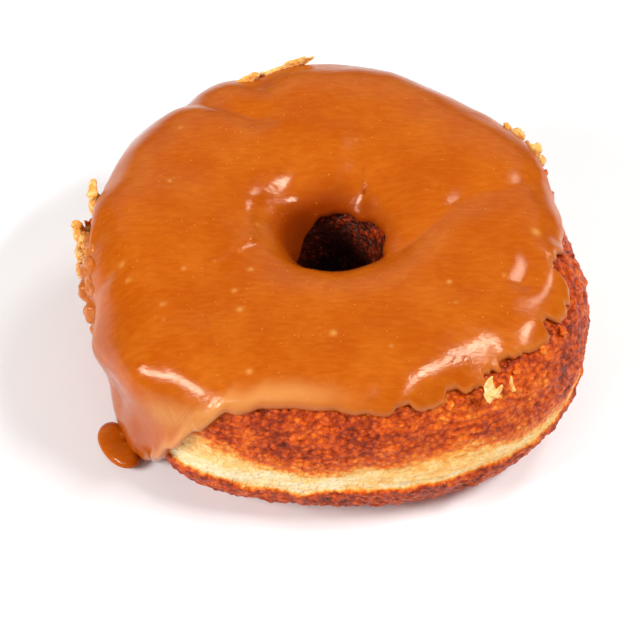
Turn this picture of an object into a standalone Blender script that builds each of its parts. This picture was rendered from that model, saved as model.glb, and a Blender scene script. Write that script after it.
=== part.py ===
"""Croissant doughnut with maple icing: a fried ring of laminated dough, and the icing poured over it.

The dough is one solid, with the flakes and nubs that stand out of its crust fused on. The icing is a second
solid, which lies over the top of the ring, runs into the hole and down one side, and ends there in a foot.
Every surface is worked out from two angles. The azimuth goes round the ring: 0 is +X, 90 is +Y, which is the
back. The turn goes round the ring's cross-section: 0 is the outer waist, 90 the crown, 180 the waist inside
the hole and 270 the base. Lengths are in millimetres until a mesh is made, which is in metres.
"""

import math

import bmesh
import bpy
import numpy as np

MM = 0.001

# The ring
WAIST_RADIUS = 49.3
HOLE_RADIUS = 8.7
CROWN_RISE = 18.6
BASE_DROP = 19.6
FLOOR_DROP = 18.8
SQUARENESS_TOP = 3.3
SQUARENESS_BASE = 2.4
CENTRE_X = 0.45
CENTRE_Y = -1.05

# Lobes of the hand-cut ring: azimuth, half width of the lobe in degrees, and how far it swells outwards
WAIST_LOBES = (
    (325, 34, 3.7), (11, 18, -3.6), (268, 26, -1.7), (54, 22, -3.9), (95, 30, -2.9), (201, 24, -3.6), (236, 14, 1.7),
    (143, 12, -1.4), (160, 10, -2.8),
)
HOLE_LOBES = ((150, 40, 1.6), (40, 24, -1.0), (300, 40, 0.6))
CROWN_LOBES = ((92, 16, 1.4), (330, 40, 0.1), (225, 30, -0.6))

# Folds where the laminated dough has slipped: both ends of the fold seen from above, its width and its depth
FOLDS = (
    ((-35.0, 39.0), (-15.0, 27.0), 3.4, 1.5),
    ((-19.0, 50.0), (-14.0, 37.0), 4.0, 1.6),
    ((12.0, -8.0), (27.0, 5.5), 3.6, 0.9),
    ((27.0, 5.5), (46.0, 10.5), 3.0, 0.9),
    ((7.0, -47.0), (10.0, -41.0), 2.6, 0.5),
    ((-20.0, -46.0), (-6.0, -50.0), 2.4, 0.5),
    ((-47.0, 8.0), (-42.0, -10.0), 2.6, 0.8),
)

# The folds fade out towards this height above the waist
FOLD_FLOOR = -2.0
FOLD_FADE = 10.0

# Layers of the laminated dough, which show as low ridges round the outer side
LAYER_PITCH_DEG = 21.0
LAYER_RELIEF = 0.3
LAYER_REACH_TURN = 60.0
LAYER_FADE_TURN = 20.0
# How far the ridges wander up and down: waves round the ring, phase and size, both in degrees
LAYER_WANDER = ((3, 40, 3.0), (7, 0, 2.0))

# The pale waist, where the ring floated out of the oil, stands back a little between the two browned crusts
PALE_TURN = 1.0
PALE_HALF_TURN = 9.0
PALE_DEPTH = 0.35
# The relief fades out over this much turn where the icing covers it
COVER_TURN = 8.0

# The icing
ICING_GAP = 0.46
STEEP_GAP = 0.14
STEEP_FADE_TURN = 30.0
ICING_THICK = 1.7
# The run thickens below this turn
RUN_EXTRA_THICK = 0.4
RUN_THICK_TURN = 40.0
# The edge rounds off over its first EDGE_ROUND and then swells into a lip, LIP_INSET from the edge
EDGE_ROUND = 1.3
ICING_LIP = 0.7
LIP_INSET = 2.2
LIP_WIDTH = 1.7
# Where the icing's outer edge lies: azimuth and turn, round the ring
ICING_EDGE = (
    (1, 41), (15, 38), (30, 41), (45, 34), (65, 25), (88, 37), (104, 45), (118, 31), (135, 21), (152, 25),
    (168, 39), (184, 34), (190, 16), (196, -14), (203, -40), (210, -57), (219, -55), (225, -38), (230, -18),
    (234, 1), (240, 24), (246, 38), (254, 43), (262, 44), (270, 44), (276, 41), (281, 41), (287, 43), (293, 39),
    (299, 43), (304, 44), (308, 42), (313, 46), (321, 47), (327, 44), (332, 45), (336, 42), (340, 45), (344, 51),
    (349, 53), (355, 47),
)
# Where its inner edge lies, down the wall of the hole
HOLE_EDGE = (
    (6, 139), (37, 141), (67, 147), (100, 153), (125, 161), (145, 177), (190, 170), (240, 152), (300, 141), (336, 139),
)
# The run that reaches the floor: its azimuth, half width in degrees, and how far its foot stands out of the dough
RUN_AZIMUTH = 215.0
RUN_HALF_WIDTH = 9.0
RUN_FOOT = 4.0
RUN_REACH_TURN = 55.0
FOOT_CLEARANCE = 0.45
# The puddle at the run's foot: where its middle is, its half sizes along and across the ring and upwards
PUDDLE_AZIMUTH = 214.0
PUDDLE_RADIUS = 49.9
PUDDLE_SIZE = (5.4, 2.7, 1.6)
# Crumbs that the icing has run over, at its edge: azimuth, turn and radius
COATED_CRUMBS = (
    (38, 44, 1.7), (34, 43, 2.2), (30, 44, 1.8), (26, 43, 2.1), (183, 39, 1.9), (188, 34, 2.3), (192, 22, 2.2),
    (194, 8, 1.9), (97, 46, 1.6),
)
CRUMB_LIFT = 1.3
CRUMB_LIFT_SHARE = 0.4

# Flakes of the crust that stand up: azimuth and turn of the root, length, width, heading (0 points to the
# crown, 90 along the ring), lean out of the surface, and how far the tip curls
FLAKES = (
    (167, 25, 8.4, 2.6, 4, 40, 0.5),
    (174, 20, 8.2, 3.8, 20, 52, -1.4),
    (180, 20, 5.4, 3.4, 0, 56, 0.8),
    (114, 22, 4.8, 3.6, 15, 48, 0.5),
    (107, 27, 5.6, 3.4, -30, 52, 0.6),
    (102, 27, 6.8, 4.2, -35, 50, 0.8),
    (96, 26, 6.2, 3.6, -45, 48, 0.6),
    (308, 39, 4.6, 3.4, -8, 64, -0.6),
    (312, 41, 2.8, 1.5, 20, 62, 0.5),
    (75, 8, 4.6, 3.0, 35, 40, 0.6),
    (147, 5, 4.8, 3.2, -30, 42, 0.7),
)
FLAKE_ROOT = 1.3
FLAKE_THICK = 0.9
FLAKE_TAPER = 0.42
FLAKE_RAGGED = 0.18
FLAKE_WAVE = 0.3
# A flake is FLAKE_NECK of its width at the root, and swells to all of it
FLAKE_NECK = 0.55
FLAKE_RIPPLE = 5.1
FLAKE_WAVES_ALONG = 2.4
FLAKE_WAVES_ACROSS = 1.9
FLAKE_STEPS = 5
FLAKE_ACROSS = 3

# Rounded nubs of crust by the icing's edge: azimuth, turn and radius
NUBS = (
    (36, 29, 1.8), (32.5, 30, 2.2), (29, 30, 1.8), (25.5, 28, 2.3), (177, 16, 2.3), (182, 17, 2.4), (186, 8, 2.2),
    (171, 13, 1.7), (110.5, 27, 1.5), (112, 20, 1.3), (20, 26, 1.3), (298, 39, 1.1), (324, 41, 1.2),
)
NUB_LIFT_SHARE = 0.35
# Every nub and crumb is lumpy: how much, and how many lumps go across it
LUMP_SHARE = 0.16
LUMPS = 2.7

# Mesh fineness
STATIONS = 64
STATION_CROWDING = 20.0
# Turns that the dough's and the icing's meshes share, so that their faces run alike where one lies on the other
SHARED_FROM = 68.0
SHARED_TO = 126.0
SHARED_STEPS = 5
OUTER_FROM = -45.0
OUTER_STEPS = 16
INNER_TO = 232.0
INNER_STEPS = 8
BASE_STEPS = 5
ICING_LOW_STEPS = 8
ICING_HOLE_STEPS = 4
# The icing's low turns gather towards the shoulder, where the section curves most
SHOULDER_GATHER = 1.25
# Insets of the icing's points from its edges, and the sections' sizes that turn an inset into an angle
EDGE_INSETS = (0.0, 0.35, 1.3, 3.0)
HOLE_INSETS = (1.3, 0.35, 0.0)
OUTER_SIZE = 19.5
INNER_SIZE = 15.0

CRUST_COLOUR = (0.36, 0.10, 0.02, 1.0)
ICING_COLOUR = (0.60, 0.16, 0.02, 1.0)


def away(azimuth, centre):
    """The angle in degrees from centre to azimuth, the short way round."""
    return (azimuth - centre + 180.0) % 360.0 - 180.0


def lobes(azimuth, table):
    """The sum of smooth swells round the ring: each is amount * exp(-(angle / width) ** 2)."""
    total = np.zeros_like(azimuth)
    for centre, width, amount in table:
        total = total + amount * np.exp(-((away(azimuth, centre) / width) ** 2))
    return total


def smooth(x):
    """0 below 0, 1 above 1, and an even slope between."""
    x = np.clip(x, 0.0, 1.0)
    return x * x * (3.0 - 2.0 * x)


def round_the_ring(azimuth, table):
    """A smooth closed curve through (azimuth, value) pairs: between two neighbours it eases from one to the next."""
    places = np.array([p[0] for p in table], float)
    values = np.array([p[1] for p in table], float)
    places = np.append(places, places[0] + 360.0)
    values = np.append(values, values[0])
    wrapped = (azimuth - places[0]) % 360.0 + places[0]
    left = np.clip(np.searchsorted(places, wrapped, side="right") - 1, 0, len(table) - 1)
    share = smooth((wrapped - places[left]) / (places[left + 1] - places[left]))
    return values[left] + share * (values[left + 1] - values[left])


def bare_ring(azimuth, turn):
    """The plain ring: an egg-shaped section, squarer than an ellipse, carried round the hole's axis."""
    around = np.radians(azimuth)
    across = np.radians(turn)
    outer = WAIST_RADIUS + lobes(azimuth, WAIST_LOBES)
    inner = HOLE_RADIUS + lobes(azimuth, HOLE_LOBES)
    rise = CROWN_RISE + lobes(azimuth, CROWN_LOBES)
    c, s = np.cos(across), np.sin(across)
    square = np.where(s > 0, SQUARENESS_TOP, SQUARENESS_BASE)
    size = (np.abs(c) ** square + np.abs(s) ** square) ** (-1.0 / square)
    radius = (outer + inner) / 2 + (outer - inner) / 2 * c * size
    height = np.where(s > 0, rise, BASE_DROP) * s * size
    return np.stack([radius * np.cos(around), radius * np.sin(around), height], axis=-1)


def normals(surface, azimuth, turn, step=0.2):
    """Outward normals of surface(azimuth, turn), from points a small step away on each side."""
    along = surface(azimuth + step, turn) - surface(azimuth - step, turn)
    across = surface(azimuth, turn + step) - surface(azimuth, turn - step)
    n = np.cross(along, across)
    return n / np.linalg.norm(n, axis=-1, keepdims=True)


def fold_depth(points):
    """How deep the folds cut at each point: a rounded groove along each fold's line, seen from above."""
    depth = np.zeros(points.shape[:-1])
    for start, end, width, deepest in FOLDS:
        start, end = np.array(start), np.array(end)
        line = end - start
        share = np.clip(((points[..., :2] - start) @ line) / (line @ line), 0.0, 1.0)
        off = np.linalg.norm(points[..., :2] - start - share[..., None] * line, axis=-1)
        depth = depth + deepest * np.exp(-((off / width) ** 2))
    return depth * smooth((points[..., 2] - FOLD_FLOOR) / FOLD_FADE)


def crust_relief(azimuth, turn):
    """The layers' ridges, which fade towards the crown and the base, and the pale waist's shallow hollow."""
    outside = smooth((np.cos(np.radians(turn)) + 0.1) * 2.0)
    wander = sum(size * np.sin(np.radians(azimuth * waves + phase)) for waves, phase, size in LAYER_WANDER)
    low = away(turn, 0.0)
    fade = smooth((LAYER_REACH_TURN - np.abs(low)) / LAYER_FADE_TURN)
    ridges = fade * np.cos(2.0 * math.pi * (low + wander) / LAYER_PITCH_DEG)
    pale = np.exp(-(((low - PALE_TURN) / PALE_HALF_TURN) ** 2))
    return outside * (LAYER_RELIEF * ridges * (1.0 - pale) - PALE_DEPTH * pale)


def dough_body(azimuth, turn):
    """The ring with its folds, before the crust's low relief. The icing lies on this surface."""
    points = bare_ring(azimuth, turn)
    return points - fold_depth(points)[..., None] * normals(bare_ring, azimuth, turn)


def dough_surface(azimuth, turn):
    """The dough's outside, cut flat where it rests."""
    low_relief = crust_relief(azimuth, turn)
    under_icing = smooth((away(turn, 0.0) - round_the_ring(azimuth, ICING_EDGE)) / COVER_TURN + 0.5)
    raised = np.where(np.abs(away(turn, 0.0)) < 90.0, low_relief * (1.0 - under_icing), 0.0)
    points = dough_body(azimuth, turn) + raised[..., None] * normals(bare_ring, azimuth, turn)
    points[..., 2] = np.maximum(points[..., 2], -FLOOR_DROP)
    return points


def run_share(azimuth):
    """1 in the middle of the run that reaches the floor, and 0 away from it."""
    return np.exp(-((away(azimuth, RUN_AZIMUTH) / RUN_HALF_WIDTH) ** 4))


def icing_gap(azimuth, turn):
    """How far the icing stands off the dough: more where its edge falls steeply, as its faces are long there."""
    steepness = np.abs(round_the_ring(azimuth + 2.0, ICING_EDGE) - round_the_ring(azimuth - 2.0, ICING_EDGE)) / 4.0
    return ICING_GAP + STEEP_GAP * steepness * smooth((SHARED_FROM - away(turn, 0.0)) / STEEP_FADE_TURN)


def icing_thickness(azimuth, turn):
    """The icing's thickness: rounded off at both edges, with a lip along the outer one, and thicker down the run."""
    from_edge = np.radians(away(turn, 0.0) - round_the_ring(azimuth, ICING_EDGE)) * OUTER_SIZE
    from_hole = np.radians(round_the_ring(azimuth, HOLE_EDGE) - turn) * INNER_SIZE
    inset = np.clip(np.minimum(from_edge, from_hole) / EDGE_ROUND, 0.0, 1.0)
    rounded = np.sqrt(1.0 - (1.0 - inset) ** 2)
    lip = ICING_LIP * np.exp(-(((from_edge - LIP_INSET) / LIP_WIDTH) ** 2))
    low = run_share(azimuth) * smooth((RUN_THICK_TURN - turn) / RUN_THICK_TURN)
    return (ICING_THICK + lip + RUN_EXTRA_THICK * low) * rounded, rounded


def icing_outside(azimuth, turn):
    """The icing's outer face, which stands off the dough by the gap and the icing's thickness.

    Down the run it also leans outwards, so that the run falls straight from the waist while the dough curves away.
    """
    thickness, rounded = icing_thickness(azimuth, turn)
    off = icing_gap(azimuth, turn) + thickness
    points = dough_body(azimuth, turn) + off[..., None] * normals(bare_ring, azimuth, turn)
    lean = RUN_FOOT * run_share(azimuth) * smooth(-away(turn, 0.0) / RUN_REACH_TURN) * rounded
    points[..., 0] += lean * np.cos(np.radians(azimuth))
    points[..., 1] += lean * np.sin(np.radians(azimuth))
    points[..., 2] = np.maximum(points[..., 2], -FLOOR_DROP + FOOT_CLEARANCE)
    return points


def icing_underside(azimuth, turn):
    """The icing's inner face, which lies a small gap off the dough."""
    return dough_body(azimuth, turn) + icing_gap(azimuth, turn)[..., None] * normals(bare_ring, azimuth, turn)


def in_place(points):
    """Millimetres about the ring's own centre, to metres in the part's frame, with the base at z = 0."""
    return (points + np.array([CENTRE_X, CENTRE_Y, FLOOR_DROP])) * MM


def material(name, colour, roughness):
    made = bpy.data.materials.new(name)
    made.use_nodes = True
    shader = made.node_tree.nodes["Principled BSDF"]
    shader.inputs["Base Color"].default_value = colour
    shader.inputs["Roughness"].default_value = roughness
    shader.inputs["Metallic"].default_value = 0.0
    return made


def new_object(name, mesh, finish):
    made = bpy.data.objects.new(name, mesh)
    bpy.context.scene.collection.objects.link(made)
    mesh.materials.append(finish)
    mesh.shade_smooth()
    return made


def closed_tube(name, rings, finish):
    """A closed ring of sections: rings is stations x points x 3, and both directions join up with themselves.

    Every square is split the same way, so that two surfaces with the same stations and turns run alike.
    """
    shape = bmesh.new()
    loops = [[shape.verts.new(p) for p in ring] for ring in in_place(rings)]
    for here, there in zip(loops, loops[1:] + loops[:1]):
        for k in range(len(here)):
            n = (k + 1) % len(here)
            shape.faces.new((here[k], there[k], there[n]))
            shape.faces.new((here[k], there[n], here[n]))
    bmesh.ops.recalc_face_normals(shape, faces=shape.faces)
    mesh = bpy.data.meshes.new(name)
    shape.to_mesh(mesh)
    shape.free()
    return new_object(name, mesh, finish)


def section_turns():
    """Turns round the dough's section: the outer side, the part shared with the icing, the hole and the base."""
    outer = np.linspace(OUTER_FROM, SHARED_FROM, OUTER_STEPS + 1)[:-1]
    shared = np.linspace(SHARED_FROM, SHARED_TO, SHARED_STEPS + 1)[:-1]
    inner = np.linspace(SHARED_TO, INNER_TO, INNER_STEPS + 1)[:-1]
    base = np.linspace(INNER_TO, OUTER_FROM + 360.0, BASE_STEPS + 1)[:-1]
    return np.concatenate([outer, shared, inner, base])


def between(low, high, steps, gather=1.0):
    """The turns from low up to, but not including, high, one row a station. They gather towards high above 1."""
    share = 1.0 - (1.0 - np.arange(steps) / steps) ** gather
    return low[:, None] + (high - low)[:, None] * share


def icing_turns(azimuth):
    """Turns of the icing's points at each station, from its outer edge over the crown to its edge in the hole."""
    edge = round_the_ring(azimuth, ICING_EDGE)
    inside = round_the_ring(azimuth, HOLE_EDGE)
    near_edge = edge[:, None] + np.degrees(np.array(EDGE_INSETS) / OUTER_SIZE)
    near_hole = inside[:, None] - np.degrees(np.array(HOLE_INSETS) / INNER_SIZE)
    shared_from, shared_to = np.full_like(edge, SHARED_FROM), np.full_like(edge, SHARED_TO)
    low = between(near_edge[:, -1], shared_from, ICING_LOW_STEPS, SHOULDER_GATHER)[:, 1:]
    shared = between(shared_from, shared_to, SHARED_STEPS)
    down = between(shared_to, near_hole[:, 0], ICING_HOLE_STEPS)
    return np.concatenate([near_edge, low, shared, down, near_hole], axis=1)


def directions(azimuth, turn):
    """At one place on the ring: the point, the outward normal, the way to the crown and the way round the ring."""
    a, t = np.array([float(azimuth)]), np.array([float(turn)])
    out = normals(bare_ring, a, t)[0]
    crownwards = (bare_ring(a, t + 0.5) - bare_ring(a, t - 0.5))[0]
    crownwards = crownwards / np.linalg.norm(crownwards)
    return dough_body(a, t)[0], out, crownwards, np.cross(crownwards, out)


def rim_of(rows):
    """The points round the edge of a grid of rows, in order."""
    right = [row[-1] for row in rows[1:]]
    left = [row[0] for row in rows[-2:0:-1]]
    return rows[0] + right + rows[-1][-2::-1] + left


def flake_mesh(place, number):
    """A thin wavy plate that grows out of the crust, widest past its middle, with a ragged outline."""
    azimuth, turn, length, width, heading, lean, curl = place
    point, out, crownwards, round_ring = directions(azimuth, turn)
    flat = math.cos(math.radians(heading)) * crownwards + math.sin(math.radians(heading)) * round_ring
    across = np.cross(out, flat)
    along = math.cos(math.radians(lean)) * flat + math.sin(math.radians(lean)) * out
    face = np.cross(along, across)
    shape = bmesh.new()
    sheets = []
    for side in (-0.5, 0.5):
        rows = []
        for i in range(FLAKE_STEPS + 1):
            a = i / FLAKE_STEPS
            swell = FLAKE_NECK + (1.0 - FLAKE_NECK) * math.sin(math.pi * (0.1 + 0.8 * a))
            half = width / 2 * swell * (1 - FLAKE_TAPER * a**3)
            half *= 1 + FLAKE_RAGGED * math.sin(FLAKE_RIPPLE * i + number)
            row = []
            for j in range(FLAKE_ACROSS + 1):
                b = 2.0 * j / FLAKE_ACROSS - 1.0
                phase = FLAKE_WAVES_ALONG * a * math.pi + FLAKE_WAVES_ACROSS * b + number
                wave = FLAKE_WAVE * math.sin(phase) + curl * a * a
                thick = FLAKE_THICK * (1 - FLAKE_TAPER * a)
                here = point + along * (length * a - FLAKE_ROOT) + across * (half * b)
                row.append(shape.verts.new(here + face * (wave + side * thick)))
            rows.append(row)
        sheets.append(rows)
    for rows in sheets:
        for lower, upper in zip(rows, rows[1:]):
            for j in range(FLAKE_ACROSS):
                shape.faces.new((lower[j], lower[j + 1], upper[j + 1]))
                shape.faces.new((lower[j], upper[j + 1], upper[j]))
    bottom, top = rim_of(sheets[0]), rim_of(sheets[1])
    for k in range(len(bottom)):
        n = (k + 1) % len(bottom)
        shape.faces.new((bottom[k], top[k], top[n], bottom[n]))
    bmesh.ops.recalc_face_normals(shape, faces=shape.faces)
    return shape


def blob_mesh(centre, axes, sizes, lump_share):
    """An egg: a ball stretched to three half sizes along three axes, with low lumps on it."""
    shape = bmesh.new()
    bmesh.ops.create_icosphere(shape, subdivisions=2, radius=1.0)
    for vertex in shape.verts:
        x, y, z = vertex.co
        lump = math.sin(LUMPS * x + centre[0]) * math.sin(LUMPS * y + centre[1]) + math.sin(LUMPS * z + centre[2])
        swollen = vertex.co * (1.0 + lump_share * lump)
        vertex.co = centre + sum(axis * (size * part) for axis, size, part in zip(axes, sizes, swollen))
    bmesh.ops.recalc_face_normals(shape, faces=shape.faces)
    return shape


def nub_mesh(place, lift):
    azimuth, turn, radius = place
    point, out, crownwards, round_ring = directions(azimuth, turn)
    sizes = (radius, radius * 0.85, radius * 0.8)
    return blob_mesh(point + out * lift, (round_ring, crownwards, out), sizes, LUMP_SHARE)


def nubs():
    return [nub_mesh(place, NUB_LIFT_SHARE * place[-1]) for place in NUBS]


def coated_crumbs():
    """Each stands clear of the dough by the icing's gap, and sinks into the icing's thickness."""
    return [nub_mesh(place, CRUMB_LIFT + CRUMB_LIFT_SHARE * place[-1]) for place in COATED_CRUMBS]


def puddle_mesh():
    around = math.radians(PUDDLE_AZIMUTH)
    out = np.array([math.cos(around), math.sin(around), 0.0])
    along = np.array([-math.sin(around), math.cos(around), 0.0])
    centre = out * PUDDLE_RADIUS + np.array([0.0, 0.0, -FLOOR_DROP + FOOT_CLEARANCE + PUDDLE_SIZE[2]])
    return blob_mesh(centre, (along, out, np.array([0.0, 0.0, 1.0])), PUDDLE_SIZE, 0.0)


def fuse(base, name, shapes):
    """Joins the shapes to base with one Boolean union, and removes them."""
    extras = bpy.data.collections.new(name)
    bpy.context.scene.collection.children.link(extras)
    for number, shape in enumerate(shapes):
        for vertex in shape.verts:
            vertex.co = in_place(np.array(vertex.co))
        mesh = bpy.data.meshes.new(f"{name}_{number}")
        shape.to_mesh(mesh)
        shape.free()
        extras.objects.link(bpy.data.objects.new(f"{name}_{number}", mesh))
    union = base.modifiers.new("fused", "BOOLEAN")
    union.operation = "UNION"
    union.operand_type = "COLLECTION"
    union.collection = extras
    union.solver = "EXACT"
    bpy.context.view_layer.objects.active = base
    bpy.ops.object.modifier_apply(modifier=union.name)
    for extra in list(extras.objects):
        bpy.data.objects.remove(extra)
    bpy.data.collections.remove(extras)


def station_azimuths():
    """Stations round the ring, closest together at the run that reaches the floor."""
    even = np.arange(STATIONS) * 360.0 / STATIONS
    return even - STATION_CROWDING * np.sin(np.radians(even - RUN_AZIMUTH))


def make_dough(finish):
    around, across = np.meshgrid(station_azimuths(), section_turns(), indexing="ij")
    return closed_tube("dough_ring", dough_surface(around, across), finish)


def make_icing(finish):
    azimuth = station_azimuths()
    turn = icing_turns(azimuth)
    outer = icing_outside(np.broadcast_to(azimuth[:, None], turn.shape), turn)
    inner_turn = turn[:, 2:-2]
    under = icing_underside(np.broadcast_to(azimuth[:, None], inner_turn.shape), inner_turn)
    return closed_tube("maple_icing", np.concatenate([under, outer[:, ::-1]], axis=1), finish)


def main():
    for old in list(bpy.data.objects):
        bpy.data.objects.remove(old)
    crust = material("fried_dough", CRUST_COLOUR, 0.45)
    glaze = material("maple_icing", ICING_COLOUR, 0.25)
    dough = make_dough(crust)
    fuse(dough, "crags", [flake_mesh(place, number) for number, place in enumerate(FLAKES)] + nubs())
    icing = make_icing(glaze)
    fuse(icing, "drips", [puddle_mesh()] + coated_crumbs())


main()
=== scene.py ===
# %% [markdown]
# # A maple croissant doughnut
# The doughnut is a ring of laminated dough, fried until it is brown, with a thick coat of maple icing that has run
# down one side. This lesson dresses the plain solids of the frame: each piece is a surface worked out with numpy,
# with its own procedural finish, lit softly on a pale floor.

import math

import bpy
import numpy as np
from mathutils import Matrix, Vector


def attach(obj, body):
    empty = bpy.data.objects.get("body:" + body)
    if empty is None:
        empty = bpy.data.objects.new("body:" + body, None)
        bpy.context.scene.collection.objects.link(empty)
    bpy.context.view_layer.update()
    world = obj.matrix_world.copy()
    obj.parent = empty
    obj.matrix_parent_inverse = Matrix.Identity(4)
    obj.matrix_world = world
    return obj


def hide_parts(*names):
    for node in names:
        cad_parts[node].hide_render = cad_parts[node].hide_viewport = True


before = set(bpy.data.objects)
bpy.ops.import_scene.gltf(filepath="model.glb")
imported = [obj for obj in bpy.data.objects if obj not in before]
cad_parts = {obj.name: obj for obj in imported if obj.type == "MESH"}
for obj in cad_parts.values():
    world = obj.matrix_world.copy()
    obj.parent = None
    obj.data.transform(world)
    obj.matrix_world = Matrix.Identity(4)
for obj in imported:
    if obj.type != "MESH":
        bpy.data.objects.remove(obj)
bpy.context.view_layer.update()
MM = 0.001

# %% [markdown]
# ## Curves round the ring
# Every place on the doughnut has two angles: its azimuth round the hole, and its turn round the ring's section, where
# 0 is the outer waist, 90 the crown, 180 the waist inside the hole and 270 the base. Hand-cut dough is uneven, so
# radius and height are plain numbers plus a few smooth swells. The outline could be drawn as a curve instead, but
# swells are easier to fit, and they join up behind the hole by themselves.

# %% Angles and smooth steps
# The azimuth that faces the camera
FRONT = 270.0


def away(azimuth, centre):
    """The angle in degrees from centre to azimuth, the short way round."""
    return (azimuth - centre + 180.0) % 360.0 - 180.0


def smooth(x):
    """0 below 0, 1 above 1, and x * x * (3 - 2 * x) between."""
    x = np.clip(x, 0.0, 1.0)
    return x * x * (3.0 - 2.0 * x)


def lobes(azimuth, table):
    """The sum of smooth swells round the ring: each is amount * exp(-(angle / width) ** 2)."""
    total = np.zeros_like(azimuth)
    for centre, width, amount in table:
        total = total + amount * np.exp(-((away(azimuth, centre) / width) ** 2))
    return total


def round_the_ring(azimuth, table):
    """A closed curve through (azimuth, value) pairs, which eases from each pair to the next."""
    places = np.array([p[0] for p in table], float)
    values = np.array([p[1] for p in table], float)
    places = np.append(places, places[0] + 360.0)
    values = np.append(values, values[0])
    wrapped = (azimuth - places[0]) % 360.0 + places[0]
    left = np.clip(np.searchsorted(places, wrapped, side="right") - 1, 0, len(table) - 1)
    share = smooth((wrapped - places[left]) / (places[left + 1] - places[left]))
    return values[left] + share * (values[left + 1] - values[left])


print("half way up a smooth step:", float(smooth(np.array(0.5))))

# %% [markdown]
# ## The ring itself
# The section of the ring is squarer than an ellipse, because proofed dough spreads on its tray. It could be modelled
# by hand from a torus. A superellipse gives it with one number, and every later layer can follow the same formula.
# The folds, where the laminated dough slipped in the oil, are grooves along straight lines.

# %% The ring's sizes, in millimetres and degrees
WAIST_RADIUS = 49.3
HOLE_RADIUS = 8.7
CROWN_RISE = 18.6
BASE_DROP = 19.6
FLOOR_DROP = 18.8
SQUARENESS_TOP = 3.3
SQUARENESS_BASE = 2.4
CENTRE = np.array([0.45, -1.05, FLOOR_DROP])
WAIST_LOBES = (
    (325, 34, 3.7), (11, 18, -3.6), (268, 26, -1.7), (54, 22, -3.9), (95, 30, -2.9), (201, 24, -3.6), (236, 14, 1.7),
    (143, 12, -1.4), (160, 10, -2.8),
)
HOLE_LOBES = ((150, 40, 1.6), (40, 24, -1.0), (300, 40, 0.6))
CROWN_LOBES = ((92, 16, 1.4), (330, 40, 0.1), (225, 30, -0.6))
# Each fold: both ends seen from above, its width and its depth
FOLDS = (
    ((-35.0, 39.0), (-15.0, 27.0), 3.4, 1.1),
    ((-19.0, 50.0), (-14.0, 37.0), 4.0, 1.2),
    ((12.0, -8.0), (27.0, 5.5), 3.8, 0.75),
    ((27.0, 5.5), (46.0, 10.5), 4.2, 0.45),
    ((31.5, -33.0), (20.0, -43.0), 5.8, 2.5),
    ((38.0, -12.0), (36.6, -16.5), 2.6, 0.85),
    ((45.5, -1.5), (43.5, -3.5), 3.0, 0.9),
    ((7.0, -47.0), (10.0, -41.0), 2.6, 0.5),
    ((-20.0, -46.0), (-6.0, -50.0), 2.4, 0.5),
    ((-47.0, 8.0), (-42.0, -10.0), 2.6, 0.8),
)


# %% The bare ring and its normals
def bare_ring(azimuth, turn):
    """Radius = middle + half width * cos(turn) * size and height = rise * sin(turn) * size, carried round the hole.

    size = (|cos| ** n + |sin| ** n) ** (-1 / n), which is 1 all round when n is 2 and makes a squarer section above 2.
    """
    around, across = np.radians(azimuth), np.radians(turn)
    outer = WAIST_RADIUS + lobes(azimuth, WAIST_LOBES)
    inner = HOLE_RADIUS + lobes(azimuth, HOLE_LOBES)
    rise = CROWN_RISE + lobes(azimuth, CROWN_LOBES)
    c, s = np.cos(across), np.sin(across)
    square = np.where(s > 0, SQUARENESS_TOP, SQUARENESS_BASE)
    size = (np.abs(c) ** square + np.abs(s) ** square) ** (-1.0 / square)
    radius = (outer + inner) / 2 + (outer - inner) / 2 * c * size
    height = np.where(s > 0, rise, BASE_DROP) * s * size
    return np.stack([radius * np.cos(around), radius * np.sin(around), height], axis=-1)


def normals(surface, azimuth, turn, step=0.2):
    """The cross product of two short steps on the surface, one along the azimuth and one along the turn."""
    along = surface(azimuth + step, turn) - surface(azimuth - step, turn)
    across = surface(azimuth, turn + step) - surface(azimuth, turn - step)
    n = np.cross(along, across)
    return n / np.linalg.norm(n, axis=-1, keepdims=True)


# %% The folds, and the body of dough
# A fold is gone at this height above the waist, in millimetres, and has its full depth so much higher
FOLD_END = -2.0
FOLD_FADE = 10.0


def fold_depth(points):
    """deepest * exp(-(distance from the fold's line / width) ** 2), which fades out below the waist."""
    depth = np.zeros(points.shape[:-1])
    for start, end, width, deepest in FOLDS:
        start, end = np.array(start), np.array(end)
        line = end - start
        share = np.clip(((points[..., :2] - start) @ line) / (line @ line), 0.0, 1.0)
        off = np.linalg.norm(points[..., :2] - start - share[..., None] * line, axis=-1)
        depth = depth + deepest * np.exp(-((off / width) ** 2))
    return depth * smooth((points[..., 2] - FOLD_END) / FOLD_FADE)


def dough_body(azimuth, turn):
    """The bare ring, less the folds along its normals."""
    points = bare_ring(azimuth, turn)
    return points - fold_depth(points)[..., None] * normals(bare_ring, azimuth, turn)


front_crown = dough_body(np.array([FRONT]), np.array([90.0]))[0, 2] + FLOOR_DROP
print("height of the crown at the front:", round(float(front_crown), 2), "mm")

# %% [markdown]
# ## Noise for baked and set surfaces
# Crust and icing are uneven at every scale. Sculpting that by hand is slow, and noise does it from a few numbers. Value
# noise gives each corner of a lattice a random number and blends between corners, for swells and mottling. Cell noise
# scatters one point in each cell and measures the distance to the nearest, for blisters and bubbles. A hash of the
# cell's own numbers stands in for a random generator, so every run gives the same doughnut.

# %% Value noise
MIX = (374761393, 668265263, 1440662683, 1274126177)
SHIFTS = (13, 15, 16)
LOW_32 = 0xFFFFFFFF
LOW_24 = 0xFFFFFF


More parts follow.
